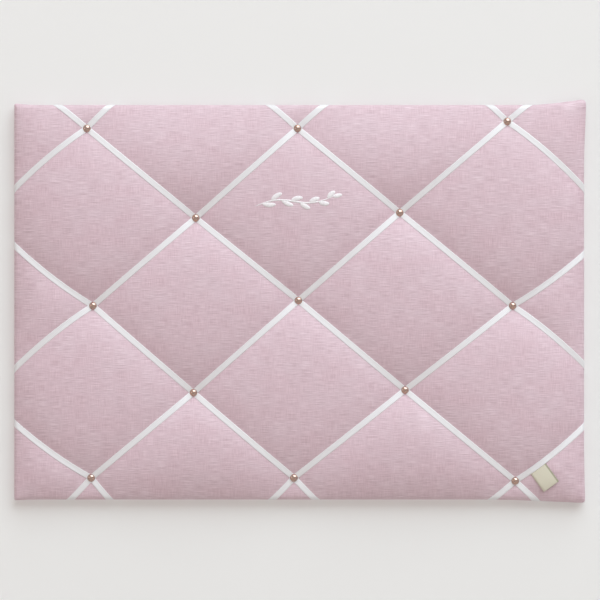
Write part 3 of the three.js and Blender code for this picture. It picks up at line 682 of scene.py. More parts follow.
def unrolled_net(step, runs):
    """The face's grid and the columns round it, counter-clockwise from the lower left corner. A column
    has the face point that it starts from, its place on the rim as shares, and its outward angle."""
    count_a = round(2 * FACE_X / step)
    count_b = round(2 * FACE_Z / step)
    share_a = np.linspace(-1, 1, count_a + 1)
    share_b = np.linspace(-1, 1, count_b + 1)
    index = np.arange((count_a + 1) * (count_b + 1)).reshape(count_a + 1, count_b + 1)
    rims = [(index[:, 0], share_a, -1.0 + 0 * share_a, -90), (index[-1], 1.0 + 0 * share_b, share_b, 0),
            (index[::-1, -1], share_a[::-1], 1.0 + 0 * share_a, 90),
            (index[0, ::-1], -1.0 + 0 * share_b, share_b[::-1], 180)]
    start, right, up, angle = [], [], [], []
    for rim, shares_a, shares_b, degrees in rims:
        turns = degrees + np.arange(1, FAN) * 90 / FAN
        start += [rim, np.full(FAN - 1, rim[-1])]
        right += [shares_a, np.full(FAN - 1, shares_a[-1])]
        up += [shares_b, np.full(FAN - 1, shares_b[-1])]
        angle += [np.full(len(rim), float(degrees)), turns]
    grid_x, grid_z = np.meshgrid(share_a * FACE_X, share_b * FACE_Z, indexing="ij")
    return {"face": (grid_x.ravel(), grid_z.ravel()), "shape": index.shape, "runs": np.asarray(runs),
            "start": np.concatenate(start), "right": np.concatenate(right),
            "up": np.concatenate(up), "angle": np.radians(np.concatenate(angle))}


def net_faces(net):
    """Quads of the face and of the columns, and triangles where a fan starts from one point."""
    first = len(net["face"][0])
    length = len(net["runs"])
    columns = len(net["start"])
    index = np.column_stack([net["start"], first + np.arange(columns * length).reshape(columns, length)])
    after = np.roll(index, -1, axis=0)
    quads = np.stack([index[:, 1:], after[:, 1:], after[:, :-1], index[:, :-1]], -1)
    fan = index[:, 0] == after[:, 0]
    inner = quads[:, 1:].reshape(-1, 4)
    rim = [quads[~fan, 0], quads[fan, 0][:, :3]]
    return [grid_faces(*net["shape"]), inner, *rim], index[:, -1]


def place_net(net, profile, lift, folds=1.0):
    """Points of one layer in millimetres, lifted off the puffed cloth, and their places on the flat
    cloth."""
    face_a, face_b = net["face"]
    face = np.stack([face_a, FACE_Y - puff(face_a, face_b) - lift, face_b], -1)
    run = net["runs"][None, :]
    out, depth, turn_out, turn_back = around(profile, run)
    bend = np.maximum(out, HEM_CORNER)
    cosine = np.cos(net["angle"])[:, None]
    sine = np.sin(net["angle"])[:, None]
    power = (np.abs(cosine) ** SQUARENESS + np.abs(sine) ** SQUARENESS) ** (-1 / SQUARENESS)
    right = net["right"][:, None]
    up = net["up"][:, None]
    flat_a = right * FACE_X + run * cosine * power
    flat_b = up * FACE_Z + run * sine * power
    x = right * (FACE_X + out - bend) + (bend * power + turn_out * lift) * cosine
    z = up * (FACE_Z + out - bend) + (bend * power + turn_out * lift) * sine
    wider = pleat(SHORT_EDGE_FOLDS, z, HALF_H, x, cosine, run)
    taller = pleat(LONG_EDGE_FOLDS, x, HALF_W, z, sine, run)
    y = depth + turn_back * lift - puff(flat_a, flat_b)
    sides = np.stack([x + np.sign(x) * folds * wider, y, z + np.sign(z) * folds * taller], -1)
    sides = sides.reshape(-1, 3)
    flat = np.concatenate([np.stack([face_a, face_b], -1), np.stack([flat_a, flat_b], -1).reshape(-1, 2)])
    return np.concatenate([face, sides]), flat


def net_body(net, outer, inner):
    """A thin closed body from two layers on one net."""
    faces, rim = net_faces(net)
    after = np.roll(rim, -1)
    size = len(outer)
    strip = np.stack([rim, rim + size, after + size, after], -1)
    return np.concatenate([outer, inner]), faces + [part[:, ::-1] + size for part in faces] + [strip]


# %% Linen cover
COVER_STEP = 2.85
ROLL_STEPS = 6
CORNER_SKIP = 8
HEM_STEPS = 5
roll_runs = np.linspace(0, QUARTER, ROLL_STEPS + 1)[1:]
corner_runs = COVER_EDGE[TURN_POINTS:2 * TURN_POINTS:CORNER_SKIP, 0]
hem_runs = np.linspace(corner_runs[-1], HEM_RUN, HEM_STEPS + 1)[1:]
cover_runs = np.concatenate([roll_runs, corner_runs, hem_runs])
cover_net = unrolled_net(COVER_STEP, cover_runs)
cover_outer, cover_flat = place_net(cover_net, COVER_EDGE, 0.0)
cover_inner, _ = place_net(cover_net, COVER_EDGE, -COVER_T)
cover_points, cover_faces = net_body(cover_net, cover_outer, cover_inner)
cover = put_piece("quilted_linen", cover_points, cover_faces, linen, flat=cover_flat)
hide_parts("linen_cover")
print("cover", len(cover.data.polygons), "faces")

# %% [markdown]
# ## The wadding
# A layer of fleece lies between the plywood and the linen and is wrapped round the board's edge. It is
# out of sight, but it is a real piece, so it gets a closed form: the quilted face from below the linen,
# and the rounded front of the core inside it.

# %% Wadding
WADDING_STEP = 6.0
SLACK = 0.35
WADDING_SHORT = 1.0
CORE_BACK_R = 0.1
wadding_runs = np.append(roll_runs, BACK_RUN - BACK_R - WADDING_SHORT)
wadding_net = unrolled_net(WADDING_STEP, wadding_runs)
wadding_outer, _ = place_net(wadding_net, COVER_EDGE, -COVER_T - SLACK, folds=0.0)
core_edge = edge_profile(CORE_EDGE_R, CORE_FRONT, CORE_BACK_R, CORE_BACK, hem=1.0)
core_share = wadding_runs / wadding_runs[-1]
core_runs = core_share * core_edge[2 * TURN_POINTS - 2, 0]
core_out, core_depth, core_turn, core_back = around(core_edge, core_runs[None, :])
face_a, face_b = wadding_net["face"]
core_face = np.stack([face_a * CORE_FACE[0] / FACE_X, CORE_FRONT - SLACK + 0 * face_a,
                      face_b * CORE_FACE[1] / FACE_Z], -1)
turn_x = np.cos(wadding_net["angle"])[:, None]
turn_z = np.sin(wadding_net["angle"])[:, None]
core_x = wadding_net["right"][:, None] * CORE_FACE[0] + (core_out + core_turn * SLACK) * turn_x
core_z = wadding_net["up"][:, None] * CORE_FACE[1] + (core_out + core_turn * SLACK) * turn_z
core_y = core_depth + np.minimum(core_back, 0) * SLACK + 0 * core_x
core_sides = np.stack([core_x, core_y, core_z], -1).reshape(-1, 3)
wadding_points, wadding_faces = net_body(
    wadding_net, wadding_outer, np.concatenate([core_face, core_sides]))
wadding = put_piece("fleece_wadding", wadding_points, wadding_faces, fleece)
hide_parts("wadding")
print("wadding", len(wadding.data.polygons), "faces")

# %% [markdown]
# ## The ribbons
# Each ribbon is a long grid: along its route on the flat cloth, and across its width. Carrying every
# point over to the cloth makes the ribbon cup into the valley between two pillows, as the real one does,
# and wrap round the edge. Rising ribbons pass over falling ones at the nails, so they lift there. The
# selvedges are a little thicker than the middle.

# %% Ribbons
RIBBON_STEP = 2.0
RIBBON_SEAT = 0.1
BOW_KNOTS = 8
ACROSS = np.linspace(-1, 1, 9)
CROSSING_REACH = 6.5
SELVEDGE_T = 0.04
SELVEDGE_AT = 0.75
SELVEDGE_REACH = 0.14
EDGE_THINNER = 0.25
EDGE_LIFT = 0.1
LABEL_REACH = 14.0
LABEL_ALONG = 30.8
LABEL_W = 21.0
LABEL_T = 0.5


def beside_line(ahead):
    """Steps of length one to the right of each step ahead: its parts change places, the second one with
    its sign turned, divided by its length."""
    return np.stack([ahead[:, 1], -ahead[:, 0]], -1) / np.linalg.norm(ahead, axis=1)[:, None]


def tail_share(spot, place, out):
    """How far along the line from the edge to the staple the ribbon's end lies."""
    limit = FACE @ np.abs(out) + BACK_RUN + RIBBON_TAIL
    return (limit - spot @ out) / ((place - spot) @ out)


def ribbon_route(ribbon):
    """Points along a ribbon's middle on the flat cloth, evenly spaced, with the way to its right, the
    distance along it, and the distance along it to each nail."""
    edges = ribbon["edges"]
    tails = [spot + (place - spot) * tail_share(spot, place, out)
             for spot, (place, out) in zip(edges, ribbon["ends"])]
    line = ribbon["studs"]
    shares = np.linspace(0, 1, BOW_KNOTS + 1)[1:]
    bows = [bowed(stud, spot, edge_bow(stud, spot, out), shares)
            for stud, spot, (_, out) in zip((line[0], line[-1]), edges, ribbon["ends"])]
    knots = np.array([tails[0], *bows[0][::-1], *line, *bows[1], tails[1]])
    at_knots = lengths_along(knots)
    along = np.linspace(0, at_knots[-1], round(at_knots[-1] / RIBBON_STEP) + 1)
    spots = np.stack([np.interp(along, at_knots, knots[:, k]) for k in (0, 1)], -1)
    return spots, beside_line(np.gradient(spots, axis=0)), along, at_knots[BOW_KNOTS + 1:-BOW_KNOTS - 1]


def hump(distance, reach):
    """One close by and zero past the reach, with soft shoulders."""
    return np.exp(-(distance / reach) ** 6)


def flat_strip(along, width):
    """The places of a strip's grid when it is laid out flat: along it, and across its width."""
    return np.stack(np.broadcast_arrays(along[:, None], ACROSS[None, :] * width / 2), -1).reshape(-1, 2)


edge_on = np.abs(ACROSS) ** 8
selvedge = SELVEDGE_T * np.exp(-((np.abs(ACROSS) - SELVEDGE_AT) / SELVEDGE_REACH) ** 2)
thick = (RIBBON_T + selvedge) * (1 - EDGE_THINNER * edge_on)
for ribbon in ribbons:
    spots, beside, along, at_studs = ribbon_route(ribbon)
    lift = np.full(len(along), RIBBON_SEAT)
    if "rising" in ribbon["name"]:
        lift += sum(hump(along - stop, CROSSING_REACH) for stop in at_studs) * (RIBBON_T + RIBBON_SEAT)
    if ribbon is ribbons[-1]:
        lift += hump(along - at_studs[-1] - LABEL_ALONG, LABEL_REACH) * (LABEL_T + RIBBON_SEAT)
    places = spots[:, None] + beside[:, None] * (ACROSS * RIBBON_W / 2)[None, :, None]
    under_lift = lift[:, None] + EDGE_LIFT * edge_on[None, :] * RIBBON_T
    under = on_cloth(places, under_lift)
    over = on_cloth(places, lift[:, None] + thick[None, :])
    points, faces = two_layers(over, under)
    piece = put_piece(f"satin_{ribbon['name']}", points, faces, satin, flat=flat_strip(along, RIBBON_W))
    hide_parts(ribbon["name"])
    print(piece.name, round(along[-1]), "mm long,", len(piece.data.polygons), "faces")

# %% [markdown]
# ## The dome nails
# An upholstery nail is a pressed dome with a thin rim and a round shank that is driven through ribbons,
# linen and wadding into the plywood. It is turned from a profile about its own axis. Nails driven by
# hand lean a degree or two, which gives each a highlight of its own.

# %% Dome nails
NAIL_HEAD_R = 4.5
NAIL_HEAD_H = 3.2
NAIL_WALL = 0.6
NAIL_SHANK_R = 0.8
NAIL_POINT = 2.0
NAIL_SIDES = 40
NAIL_RIM = np.array([[0.05, 0.12], [-0.12, 0.22]])  # mm out from the head's radius, and back
LEAN = 2.5  # degrees
lean = np.radians(np.random.default_rng(11).uniform(-LEAN, LEAN, (STUD_COUNT, 2)))
dome = np.radians(np.linspace(6, 90, 12))  # from the nail's axis
hollow = np.radians(np.linspace(88, 20, 7))  # the same, on the inside
around_axis = np.arange(NAIL_SIDES) * 2 * math.pi / NAIL_SIDES
for number in range(STUD_COUNT):
    low, high = corners_mm(f"stud_{number + 1}")
    x, z = middle(f"stud_{number + 1}")
    seat = low[1] + NAIL_HEAD_H
    end = high[1] - seat
    radius = np.concatenate([
        NAIL_HEAD_R * np.sin(dome), NAIL_HEAD_R + NAIL_RIM[:, 0],
        (NAIL_HEAD_R - NAIL_WALL) * np.sin(hollow), [NAIL_SHANK_R, NAIL_SHANK_R]])
    depth = np.concatenate([
        -NAIL_HEAD_H * np.cos(dome), NAIL_RIM[:, 1],
        (NAIL_WALL - NAIL_HEAD_H) * np.cos(hollow), [NAIL_WALL - NAIL_HEAD_H, end - NAIL_POINT]])
    rings = np.stack([np.multiply.outer(radius, np.cos(around_axis)),
                      np.repeat(depth[:, None], NAIL_SIDES, 1),
                      np.multiply.outer(radius, np.sin(around_axis))], -1).reshape(-1, 3)
    turned = np.concatenate([[[0, -NAIL_HEAD_H, 0]], rings, [[0, end, 0]]])
    turned[:, 0] += turned[:, 1] * lean[number, 0]
    turned[:, 2] += turned[:, 1] * lean[number, 1]
    nail = put_piece(f"dome_nail_{number + 1}", turned + [x, seat, z],
                     lathe_faces(len(radius), NAIL_SIDES), copper)
    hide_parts(f"stud_{number + 1}")
print(STUD_COUNT, "nails of", len(nail.data.polygons), "faces")

# %% [markdown]
# ## The label
# A folded woven tape: one strip goes out from under the ribbon, folds over at its tip and comes back, so
# that the ribbon holds both of its ends. The strip is a grid, along its path and across its width, and
# the path is two plies joined by a half circle. A tape springs open a little towards its fold.

# %% Folded label
LABEL_SHOWS = 27.8
LABEL_ROOT = 2.5
TAPE_T = 0.2
PLY_GAP = 0.14
SPRING = 0.3
SPRING_FROM = 10.0
LABEL_RISE = 2.0
RISE_FROM = 6.0
PLY_POINTS = 18
FOLD_POINTS = 7
FOLD_TURN = 75  # degrees to each side of the tip
tape_ends = (ribbons[-1]["studs"][-1], ribbons[-1]["edges"][1])
tape_bow = edge_bow(*tape_ends, ribbons[-1]["ends"][1][1])
tape_share = LABEL_ALONG / np.linalg.norm(tape_ends[1] - tape_ends[0])
tape_spot = bowed(*tape_ends, tape_bow, tape_share)
tape_along = tape_ends[1] - tape_ends[0] + 4 * (1 - 2 * tape_share) * tape_bow
tape_along = tape_along / np.linalg.norm(tape_along)
tape_out = np.array([tape_along[1], -tape_along[0]])
ply = np.linspace(-LABEL_ROOT, LABEL_SHOWS, PLY_POINTS)
spring = PLY_GAP + SPRING * ease_between(ply, SPRING_FROM, LABEL_SHOWS)
fold = np.radians(np.linspace(-FOLD_TURN, FOLD_TURN, FOLD_POINTS))
path_out = np.concatenate([ply, LABEL_SHOWS + spring[-1] * np.cos(fold), ply[::-1]])
path_up = np.concatenate([-spring, spring[-1] * np.sin(fold), spring[::-1]])
opened = np.interp(path_out, ply, spring)
path_up += RIBBON_SEAT + TAPE_T / 2 + opened + LABEL_RISE * ease_between(path_out, RISE_FROM, LABEL_SHOWS)
ahead_out = np.gradient(path_out)
ahead_up = np.gradient(path_up)
ahead_size = np.hypot(ahead_out, ahead_up)
shift = np.tile(LABEL_W / 2 * ACROSS, (len(path_out), 1))
layers = []
for offset in (TAPE_T / 2, -TAPE_T / 2):
    out = path_out + offset * ahead_up / ahead_size
    up = path_up - offset * ahead_out / ahead_size
    spots = tape_spot + shift[..., None] * tape_along + out[:, None, None] * tape_out
    layers.append(on_cloth(spots, up[:, None] + 0 * shift))
points, faces = two_layers(*layers)
tape_run = lengths_along(np.stack([path_out, path_up], -1))
label = put_piece("folded_label", points, faces, woven_tape, flat=flat_strip(tape_run, LABEL_W))
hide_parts("label_tab")
print("label cut", LABEL_W, "by", round(tape_run[-1], 1), "mm")

# %% [markdown]
# ## The embroidery
# A plain sprig in white satin stitch. Each leaf is a small domed grid that narrows to both ends, laid on
# the cloth, and the stem is a longer and thinner one.

# %% Embroidered sprig
STITCH_LIFT = 0.05
STITCH_FOOT = 0.02
BLUNT = 0.02


def stitched(line, width, height):
    """A domed strip along a line of flat places: its width and its height go as the square root of the
    sine along it, which leaves its tips a little blunt, and its height as one minus the square across it."""
    beside = beside_line(np.gradient(line, axis=0))
    narrow = np.sqrt(np.sin(math.pi * (BLUNT + (1 - 2 * BLUNT) * np.linspace(0, 1, len(line)))))
    spots = line[:, None] + beside[:, None] * (narrow[:, None] * ACROSS * width / 2)[..., None]
    dome = STITCH_LIFT + height * narrow[:, None] * (1 - ACROSS ** 2)[None, :]
    return two_layers(on_cloth(spots, dome), on_cloth(spots, STITCH_FOOT + 0 * dome))


def joined(bodies):
    """Points and faces of several closed bodies as one."""
    starts = np.cumsum([0] + [len(points) for points, _ in bodies])
    faces = [part + start for (_, parts), start in zip(bodies, starts) for part in parts]
    return np.concatenate([points for points, _ in bodies]), faces


STEM_FROM = np.array([-50.0, 109.0])
STEM_TO = np.array([38.0, 120.0])
STEM_POINTS = 60
STEM_WAVE = 4.0
STEM_STITCH = (2.0, 0.6)  # mm wide and high
LEAF_STITCH = (5.6, 0.9)
TIP_STITCH = (5.0, 0.9)
LEAVES = 8
FIRST_LEAF = 0.1  # share of the stem
LEAF_SPREAD = 0.84
LEAF_POINTS = 16
LEAF_L = 15.0
LEAF_SHRINK = 0.5
LEAF_SLANT = 38  # degrees from the stem
LEAF_CURL = 30  # degrees
TIP_L = 11.0
TIP_WAY = np.array([0.98, 0.2])
share = np.linspace(0, 1, STEM_POINTS)
stem = STEM_FROM + (STEM_TO - STEM_FROM) * share[:, None]
stem[:, 1] += STEM_WAVE * np.sin(2 * math.pi * share)
sprig = [stitched(stem, *STEM_STITCH)]
for leaf in range(LEAVES):
    at = int((FIRST_LEAF + LEAF_SPREAD * leaf / (LEAVES - 1)) * (STEM_POINTS - 1))
    way = stem[at + 1] - stem[at - 1]
    side = 1 if leaf % 2 else -1
    heading = math.atan2(way[1], way[0]) + side * math.radians(LEAF_SLANT)
    bent = heading - side * np.radians(LEAF_CURL) * np.linspace(0, 1, LEAF_POINTS)
    long = LEAF_L - LEAF_SHRINK * leaf
    steps = np.stack([np.cos(bent), np.sin(bent)], -1) * long / (LEAF_POINTS - 1)
    sprig.append(stitched(stem[at] + np.cumsum(steps, axis=0), *LEAF_STITCH))
tip = np.linspace(0, TIP_L, LEAF_POINTS)[:, None] * TIP_WAY
sprig.append(stitched(stem[-1] + tip, *TIP_STITCH))
points, faces = joined(sprig)
put_piece("embroidered_sprig", points, faces, thread)
print("sprig of", len(sprig) - 1, "leaves")

# %% [markdown]
# ## The felt lining
# The lining hides the hem, the ribbons' ends and the staples, and is cut clear of both hangers. It is
# flat, so it is a grid whose lines pass through the windows' edges, without the cells inside a window.
# Felt is soft, so its cut edges are pinched a little thinner.

# %% Felt lining
LINING_STEP = 12.0
WINDOW_MARGIN = 3.0
PINCH = 0.35
CLOSE = 0.01
lining_low, lining_high = corners_mm("back_lining")
windows = []
for side in ("left", "right"):
    ring_low, ring_high = corners_mm(f"hanger_ring_{side}")
    strap_low, _ = corners_mm(f"hanger_strap_{side}")
    windows.append([[ring_low[0] - WINDOW_MARGIN, ring_high[0] + WINDOW_MARGIN],
                    [strap_low[2] - WINDOW_MARGIN, ring_high[2] + WINDOW_MARGIN]])


def cut_lines(low, high, stops):
    """Lines across the lining, no wider apart than the step, with each cut edge among them and one more
    line in the felt a millimetre from it."""
    ends = [low, low + 1, high - 1, high]
    for start, stop in stops:
        ends += [start - 1, start, stop, stop + 1]
    edges = np.unique(ends)
    counts = (np.diff(edges) / LINING_STEP).astype(int) + 2
    parts = [np.linspace(one, two, count)[:-1] for one, two, count in zip(edges, edges[1:], counts)]
    return np.append(np.concatenate(parts), high)


across = cut_lines(lining_low[0], lining_high[0], [window[0] for window in windows])
upward = cut_lines(lining_low[2], lining_high[2], [windows[0][1]])
kept = np.ones((len(across) - 1, len(upward) - 1), bool)
for (left, right), (bottom, top) in windows:
    inside_x = (across[:-1] > left - CLOSE) & (across[1:] < right + CLOSE)
    inside_z = (upward[:-1] > bottom - CLOSE) & (upward[1:] < top + CLOSE)
    kept &= ~np.outer(inside_x, inside_z)
index = np.arange(len(across) * len(upward)).reshape(len(across), len(upward))
size = index.size
quads = np.stack([index[:-1, :-1], index[1:, :-1], index[1:, 1:], index[:-1, 1:]], -1)[kept]
framed = np.pad(kept, 1)
cut_walls = []
for right, up, one, two in ((-1, 0, (0, 1), (0, 0)), (1, 0, (1, 0), (1, 1)),
                            (0, -1, (0, 0), (1, 0)), (0, 1, (1, 1), (0, 1))):
    beyond = framed[1 + right:, 1 + up:][:kept.shape[0], :kept.shape[1]]
    cell = np.stack(np.nonzero(kept & ~beyond))
    first = index[cell[0] + one[0], cell[1] + one[1]]
    second = index[cell[0] + two[0], cell[1] + two[1]]
    cut_walls.append(np.stack([second, first, first + size, second + size], -1))
walls = np.concatenate(cut_walls)
pinched = np.zeros(size)
pinched[np.unique(walls[:, :2])] = PINCH
grid_x, grid_z = np.meshgrid(across, upward, indexing="ij")
lining_points = np.concatenate([
    np.stack([grid_x.ravel(), lining_low[1] + pinched, grid_z.ravel()], -1),
    np.stack([grid_x.ravel(), lining_high[1] - pinched, grid_z.ravel()], -1)])
used = np.unique(quads)
used = np.concatenate([used, used + size])
number_of = np.zeros(2 * size, int)
number_of[used] = np.arange(len(used))
lining_faces = [number_of[part] for part in (quads, quads[:, ::-1] + size, walls)]
lining = put_piece("felt_lining", lining_points[used], lining_faces, felt)
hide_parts("back_lining")

# %% [markdown]
# ## The hangers
# A D-ring is a bent wire: a straight bar that the strap holds, two corners and a bow. Its middle line is
# drawn with Bezier curves and a circle is carried along it. A strap is a tongue of sheet steel, folded
# round the bar so that its two plies lie on each other, with round ends. Each ring rides its own body, so
# that it can swing.

# %% Rings and straps
RING_CORNER = 4.0
RING_BOW = 5.5
RING_POINTS = {"bar": 9, "corner": 11, "bow": 19}
WIRE_SIDES = 16
STRAP_T = 1.0
STRAP_SLOPE = 6.0
STRAP_POINTS = {"lower": 24, "wrapped": 17, "slope": 8, "upper": 20, "across": 11}
EASED_FROM = 30  # numbers of the strip's points whose bends are eased
EASED_TO = -12
STRAP_GAP = 0.02
STRAP_EDGE = 0.3
STRAP_BLUNT = 0.97


def bezier(knots, count):
    """Points on a Bezier curve: the knots are replaced by places between neighbours until one is left."""
    share = np.linspace(0, 1, count)[:, None]
    level = [np.array(knot, float) + 0 * share for knot in knots]
    while len(level) > 1:
        level = [one + (two - one) * share for one, two in zip(level, level[1:])]
    return level[0]


def wire_ring(low, high):
    """Points and faces of a D-ring between two corners: its middle line is drawn from the bar's middle
    round the right side to the top of the bow, then mirrored."""
    wire = (high[1] - low[1]) / 2
    half = (high[0] - low[0]) / 2 - wire
    tall = high[2] - low[2] - 2 * wire
    bend = half - RING_CORNER
    right_side = np.concatenate([
        bezier([(0, 0), (bend, 0)], RING_POINTS["bar"])[:-1],
        bezier([(bend, 0), (half, 0), (half, RING_CORNER)], RING_POINTS["corner"])[:-1],
        bezier([(half, RING_CORNER), (half, RING_CORNER + RING_BOW), (RING_BOW, tall), (0, tall)],
               RING_POINTS["bow"])[:-1]])
    loop = np.concatenate([right_side, [[0.0, tall]], right_side[:0:-1] * [-1, 1]])
    beside = beside_line(np.roll(loop, -1, axis=0) - np.roll(loop, 1, axis=0))
    turn = np.arange(WIRE_SIDES) * 2 * math.pi / WIRE_SIDES
    flat_part = loop[:, None] + wire * np.cos(turn)[None, :, None] * beside[:, None]
    points = np.stack([(low[0] + high[0]) / 2 + flat_part[..., 0],
                       (low[1] + high[1]) / 2 + wire * np.sin(turn)[None, :] + 0 * flat_part[..., 0],
                       low[2] + wire + flat_part[..., 1]], -1)
    return points.reshape(-1, 3), [grid_faces(len(loop), WIRE_SIDES, across=True, along=True)]


def strap_line(foot, eye_y, eye_z):
    """A strap's middle line from the side, as depth and height: up from its foot, round the bar in its
    eye, and down a slope on to the first ply. The bends round the eye are eased."""
    under_y, foot_z = foot
    eye_r = eye_y - under_y
    over_y = under_y + STRAP_T
    turn = np.radians(np.linspace(-90, 90, STRAP_POINTS["wrapped"]))
    lower = np.linspace([under_y, foot_z], [under_y, eye_z], STRAP_POINTS["lower"])
    wrapped = np.stack([eye_y + eye_r * np.sin(turn), eye_z + eye_r * np.cos(turn)], -1)
    upper = np.linspace([over_y, eye_z - STRAP_SLOPE], [over_y, foot_z], STRAP_POINTS["upper"])
    slope = np.linspace(wrapped[-1], upper[0], STRAP_POINTS["slope"])
    strip = np.concatenate([lower[:-1], wrapped, slope[1:], upper[1:]])
    for _ in range(2):
        before = strip[EASED_FROM - 1:EASED_TO - 1]
        after = strip[EASED_FROM + 1:EASED_TO + 1]
        strip[EASED_FROM:EASED_TO] = (before + 2 * strip[EASED_FROM:EASED_TO] + after) / 4
    return strip


def bent_strap(strip, centre_x, strap_half):
    """Points and faces of a strap along its line, with round ends and slightly thinner edges."""
    run = lengths_along(strip)
    from_end = np.minimum(run, run[-1] - run)
    rounded = np.clip(1 - from_end / strap_half, 0, STRAP_BLUNT)
    wide = strap_half * np.sqrt(1 - rounded ** 2)
    normal = beside_line(np.gradient(strip, axis=0))
    across_strap = np.linspace(-1, 1, STRAP_POINTS["across"])
    layers = []
    for sign in (-1, 1):
        thick = sign * (STRAP_T / 2 - STRAP_GAP) * (1 - STRAP_EDGE * across_strap ** 12)
        bent_y = strip[:, :1] + normal[:, :1] * thick
        bent_z = strip[:, 1:] + normal[:, 1:] * thick
        layers.append(np.stack([centre_x + wide[:, None] * across_strap, bent_y, bent_z], -1))
    return two_layers(*layers)


for side in ("left", "right"):
    low, high = corners_mm(f"hanger_ring_{side}")
    centre_x = (low[0] + high[0]) / 2
    eye_y = (low[1] + high[1]) / 2
    eye_z = low[2] + (high[1] - low[1]) / 2
    ring = put_piece(f"wire_ring_{side}", *wire_ring(low, high), zinc, body=f"ring_{side}")
    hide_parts(f"hanger_ring_{side}")

    low, high = corners_mm(f"hanger_strap_{side}")
    strip = strap_line((low[1] + STRAP_T / 2, low[2]), eye_y, eye_z)
    strap = put_piece(f"bent_strap_{side}", *bent_strap(strip, centre_x, (high[0] - low[0]) / 2), zinc)
    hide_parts(f"hanger_strap_{side}")
print("hangers with rings of", len(ring.data.polygons), "faces")

# %% [markdown]
# ## Camera, lights and room
# The photograph looks straight at a board on a pale wall. A long lens keeps the near pillows from looking
# larger than the edges. A large soft lamp stands above and to the right, and the room's own light fills
# the rest. The camera, metal and clear things see a plain grey backdrop in place of that light. The wall
# is seen from the front only and is open behind the board, so that the back can be looked at, and lit,
# too. Its paint glows faintly to the camera, because the wall in the photograph is a little brighter than
# these lamps make it.

# %% Camera
PHOTO_W = 0.6847  # m
LENS = 250.0
SENSOR = 36.0
PICTURE_Y = -0.0085  # m; the depth at which the picture is PHOTO_W wide
SHIFT_RIGHT = 0.0009
SHIFT_UP = 0.0026
camera_data = bpy.data.cameras.new("photograph")
camera_data.lens = LENS
camera_data.sensor_width = SENSOR
camera = new_object("photograph", camera_data)
camera.location = (SHIFT_RIGHT, PICTURE_Y - PHOTO_W * LENS / SENSOR, SHIFT_UP)
camera.rotation_euler = (math.radians(90), 0, 0)
camera_data.clip_end = 100
bpy.context.scene.camera = camera
print("camera", round(-camera.location.y, 2), "m before the wall")


# %% Lamps and the room's light
def soft_lamp(name, place, aim, size, watts, colour):
    """A square area lamp that faces a point."""
    data = bpy.data.lights.new(name, "AREA")
    data.size = size
    data.energy = watts
    data.color = linear(colour)[:3]
    lamp = new_object(name, data)
    lamp.location = place
    toward = Vector(aim) - Vector(place)
    lamp.rotation_euler = toward.to_track_quat("-Z", "Y").to_euler()


soft_lamp("key", (2.05, -4.2, 5.85), (0, 0, 0), 8.0, 630, "#e8f3f9")
soft_lamp("fill", (-3.2, -2.4, 0.3), (0, 0, 0), 2.0, 7, "#fff6ee")
soft_lamp("behind", (0.0, 2.2, 0.3), (0, 0, 0), 0.5, 30, "#ffffff")

world = bpy.data.worlds.new("room")
bpy.context.scene.world = world
world.use_nodes = True
tree = world.node_tree
tree.nodes.clear()
path = add_node(tree, "ShaderNodeLightPath", {})
room_light = add_node(tree, "ShaderNodeBackground", {"Color": linear("#ffe8e2"), "Strength": 0.45})
backdrop = add_node(tree, "ShaderNodeBackground", {"Color": linear("#c6c6c6"), "Strength": 1.0})
mirrored = add_node(tree, "ShaderNodeMath", {
    "operation": "ADD", "use_clamp": True, 0: (path, "Is Camera Ray"), 1: (path, "Is Glossy Ray")})
in_view = add_node(tree, "ShaderNodeMath", {
    "operation": "ADD", "use_clamp": True, 0: (mirrored, 0), 1: (path, "Is Transmission Ray")})
seen = add_node(tree, "ShaderNodeMixShader", {0: (in_view, 0), 1: (room_light, 0), 2: (backdrop, 0)})
add_node(tree, "ShaderNodeOutputWorld", {"Surface": (seen, 0)})
print("lamps", [light.name for light in bpy.data.lights])

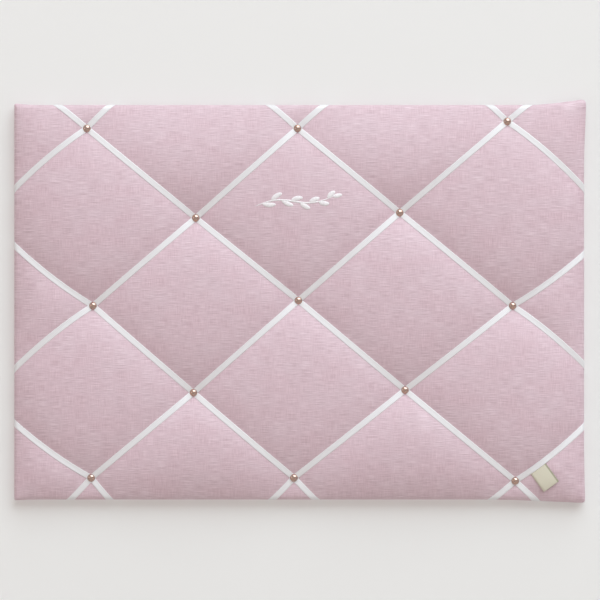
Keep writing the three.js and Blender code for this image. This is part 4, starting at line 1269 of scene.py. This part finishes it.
# %% Wall and floor
WALL_Y = 1.2
BEHIND_BOARD = 1.5
WALL_HALF = 3.0  # m
WALL_TOP = 2.4  # m
WALL_GLOW = 0.13
FLOOR_Z = -1.2  # m
FLOOR_HALF = 6.0  # m
painted, tree = start_finish("painted_wall")
place = add_node(tree, "ShaderNodeTexCoord", {})
stipple = add_node(tree, "ShaderNodeTexNoise", {
    "Vector": (place, "Object"), "Scale": 900.0, "Detail": 2.0})
rolled_paint = add_node(tree, "ShaderNodeBump", {
    "Strength": 0.05, "Distance": 0.2 * MM, "Height": (stipple, 0)})
path = add_node(tree, "ShaderNodeLightPath", {})
glow = add_node(tree, "ShaderNodeMath", {
    "operation": "MULTIPLY", 0: (path, "Is Camera Ray"), 1: WALL_GLOW})
paint = add_node(tree, "ShaderNodeBsdfPrincipled", {
    "Base Color": linear("#e0e2e1"), "Roughness": 0.9, "Specular IOR Level": 0.1,
    "Emission Color": linear("#fffdf8"), "Emission Strength": (glow, 0), "Normal": (rolled_paint, 0)})
clear = add_node(tree, "ShaderNodeBsdfTransparent", {})
side = add_node(tree, "ShaderNodeNewGeometry", {})
one_sided = add_node(tree, "ShaderNodeMixShader", {0: (side, "Backfacing"), 1: (paint, 0), 2: (clear, 0)})
end_finish(tree, one_sided)


def stage_piece(name, corners, faces, material):
    """A flat stage piece from corners in metres."""
    mesh = bpy.data.meshes.new(name)
    mesh.from_pydata(corners, [], faces)
    mesh.materials.append(material)
    plane = new_object(name, mesh)


y = WALL_Y * MM
behind_x = (HALF_W - BEHIND_BOARD) * MM
behind_z = (HALF_H - BEHIND_BOARD) * MM
wall_corners = [(-WALL_HALF, y, FLOOR_Z), (WALL_HALF, y, FLOOR_Z), (WALL_HALF, y, WALL_TOP),
                (-WALL_HALF, y, WALL_TOP), (-behind_x, y, -behind_z), (behind_x, y, -behind_z),
                (behind_x, y, behind_z), (-behind_x, y, behind_z)]
wall_faces = [(0, 1, 5, 4), (1, 2, 6, 5), (2, 3, 7, 6), (3, 0, 4, 7)]
stage_piece("wall", wall_corners, wall_faces, painted)
pale_floor = mottled("pale_floor", "#bdb8b2", "#cbc6c0", 40.0, (0.5, 0.6))
floor_corners = [(x * FLOOR_HALF, z * FLOOR_HALF, FLOOR_Z) for x, z in ((-1, -1), (1, -1), (1, 1), (-1, 1))]
stage_piece("floor", floor_corners, [(0, 1, 2, 3)], pale_floor)
bpy.context.scene.view_settings.view_transform = "Standard"
print("stage of a wall and a floor")

# %% Finishes on the CAD model's own pieces
for name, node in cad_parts.items():
    if "staple" in name or "screw" in name or name == "core_board":
        node.data.materials.clear()
        node.data.materials.append(plywood if name == "core_board" else zinc)
        print("finish on", name)
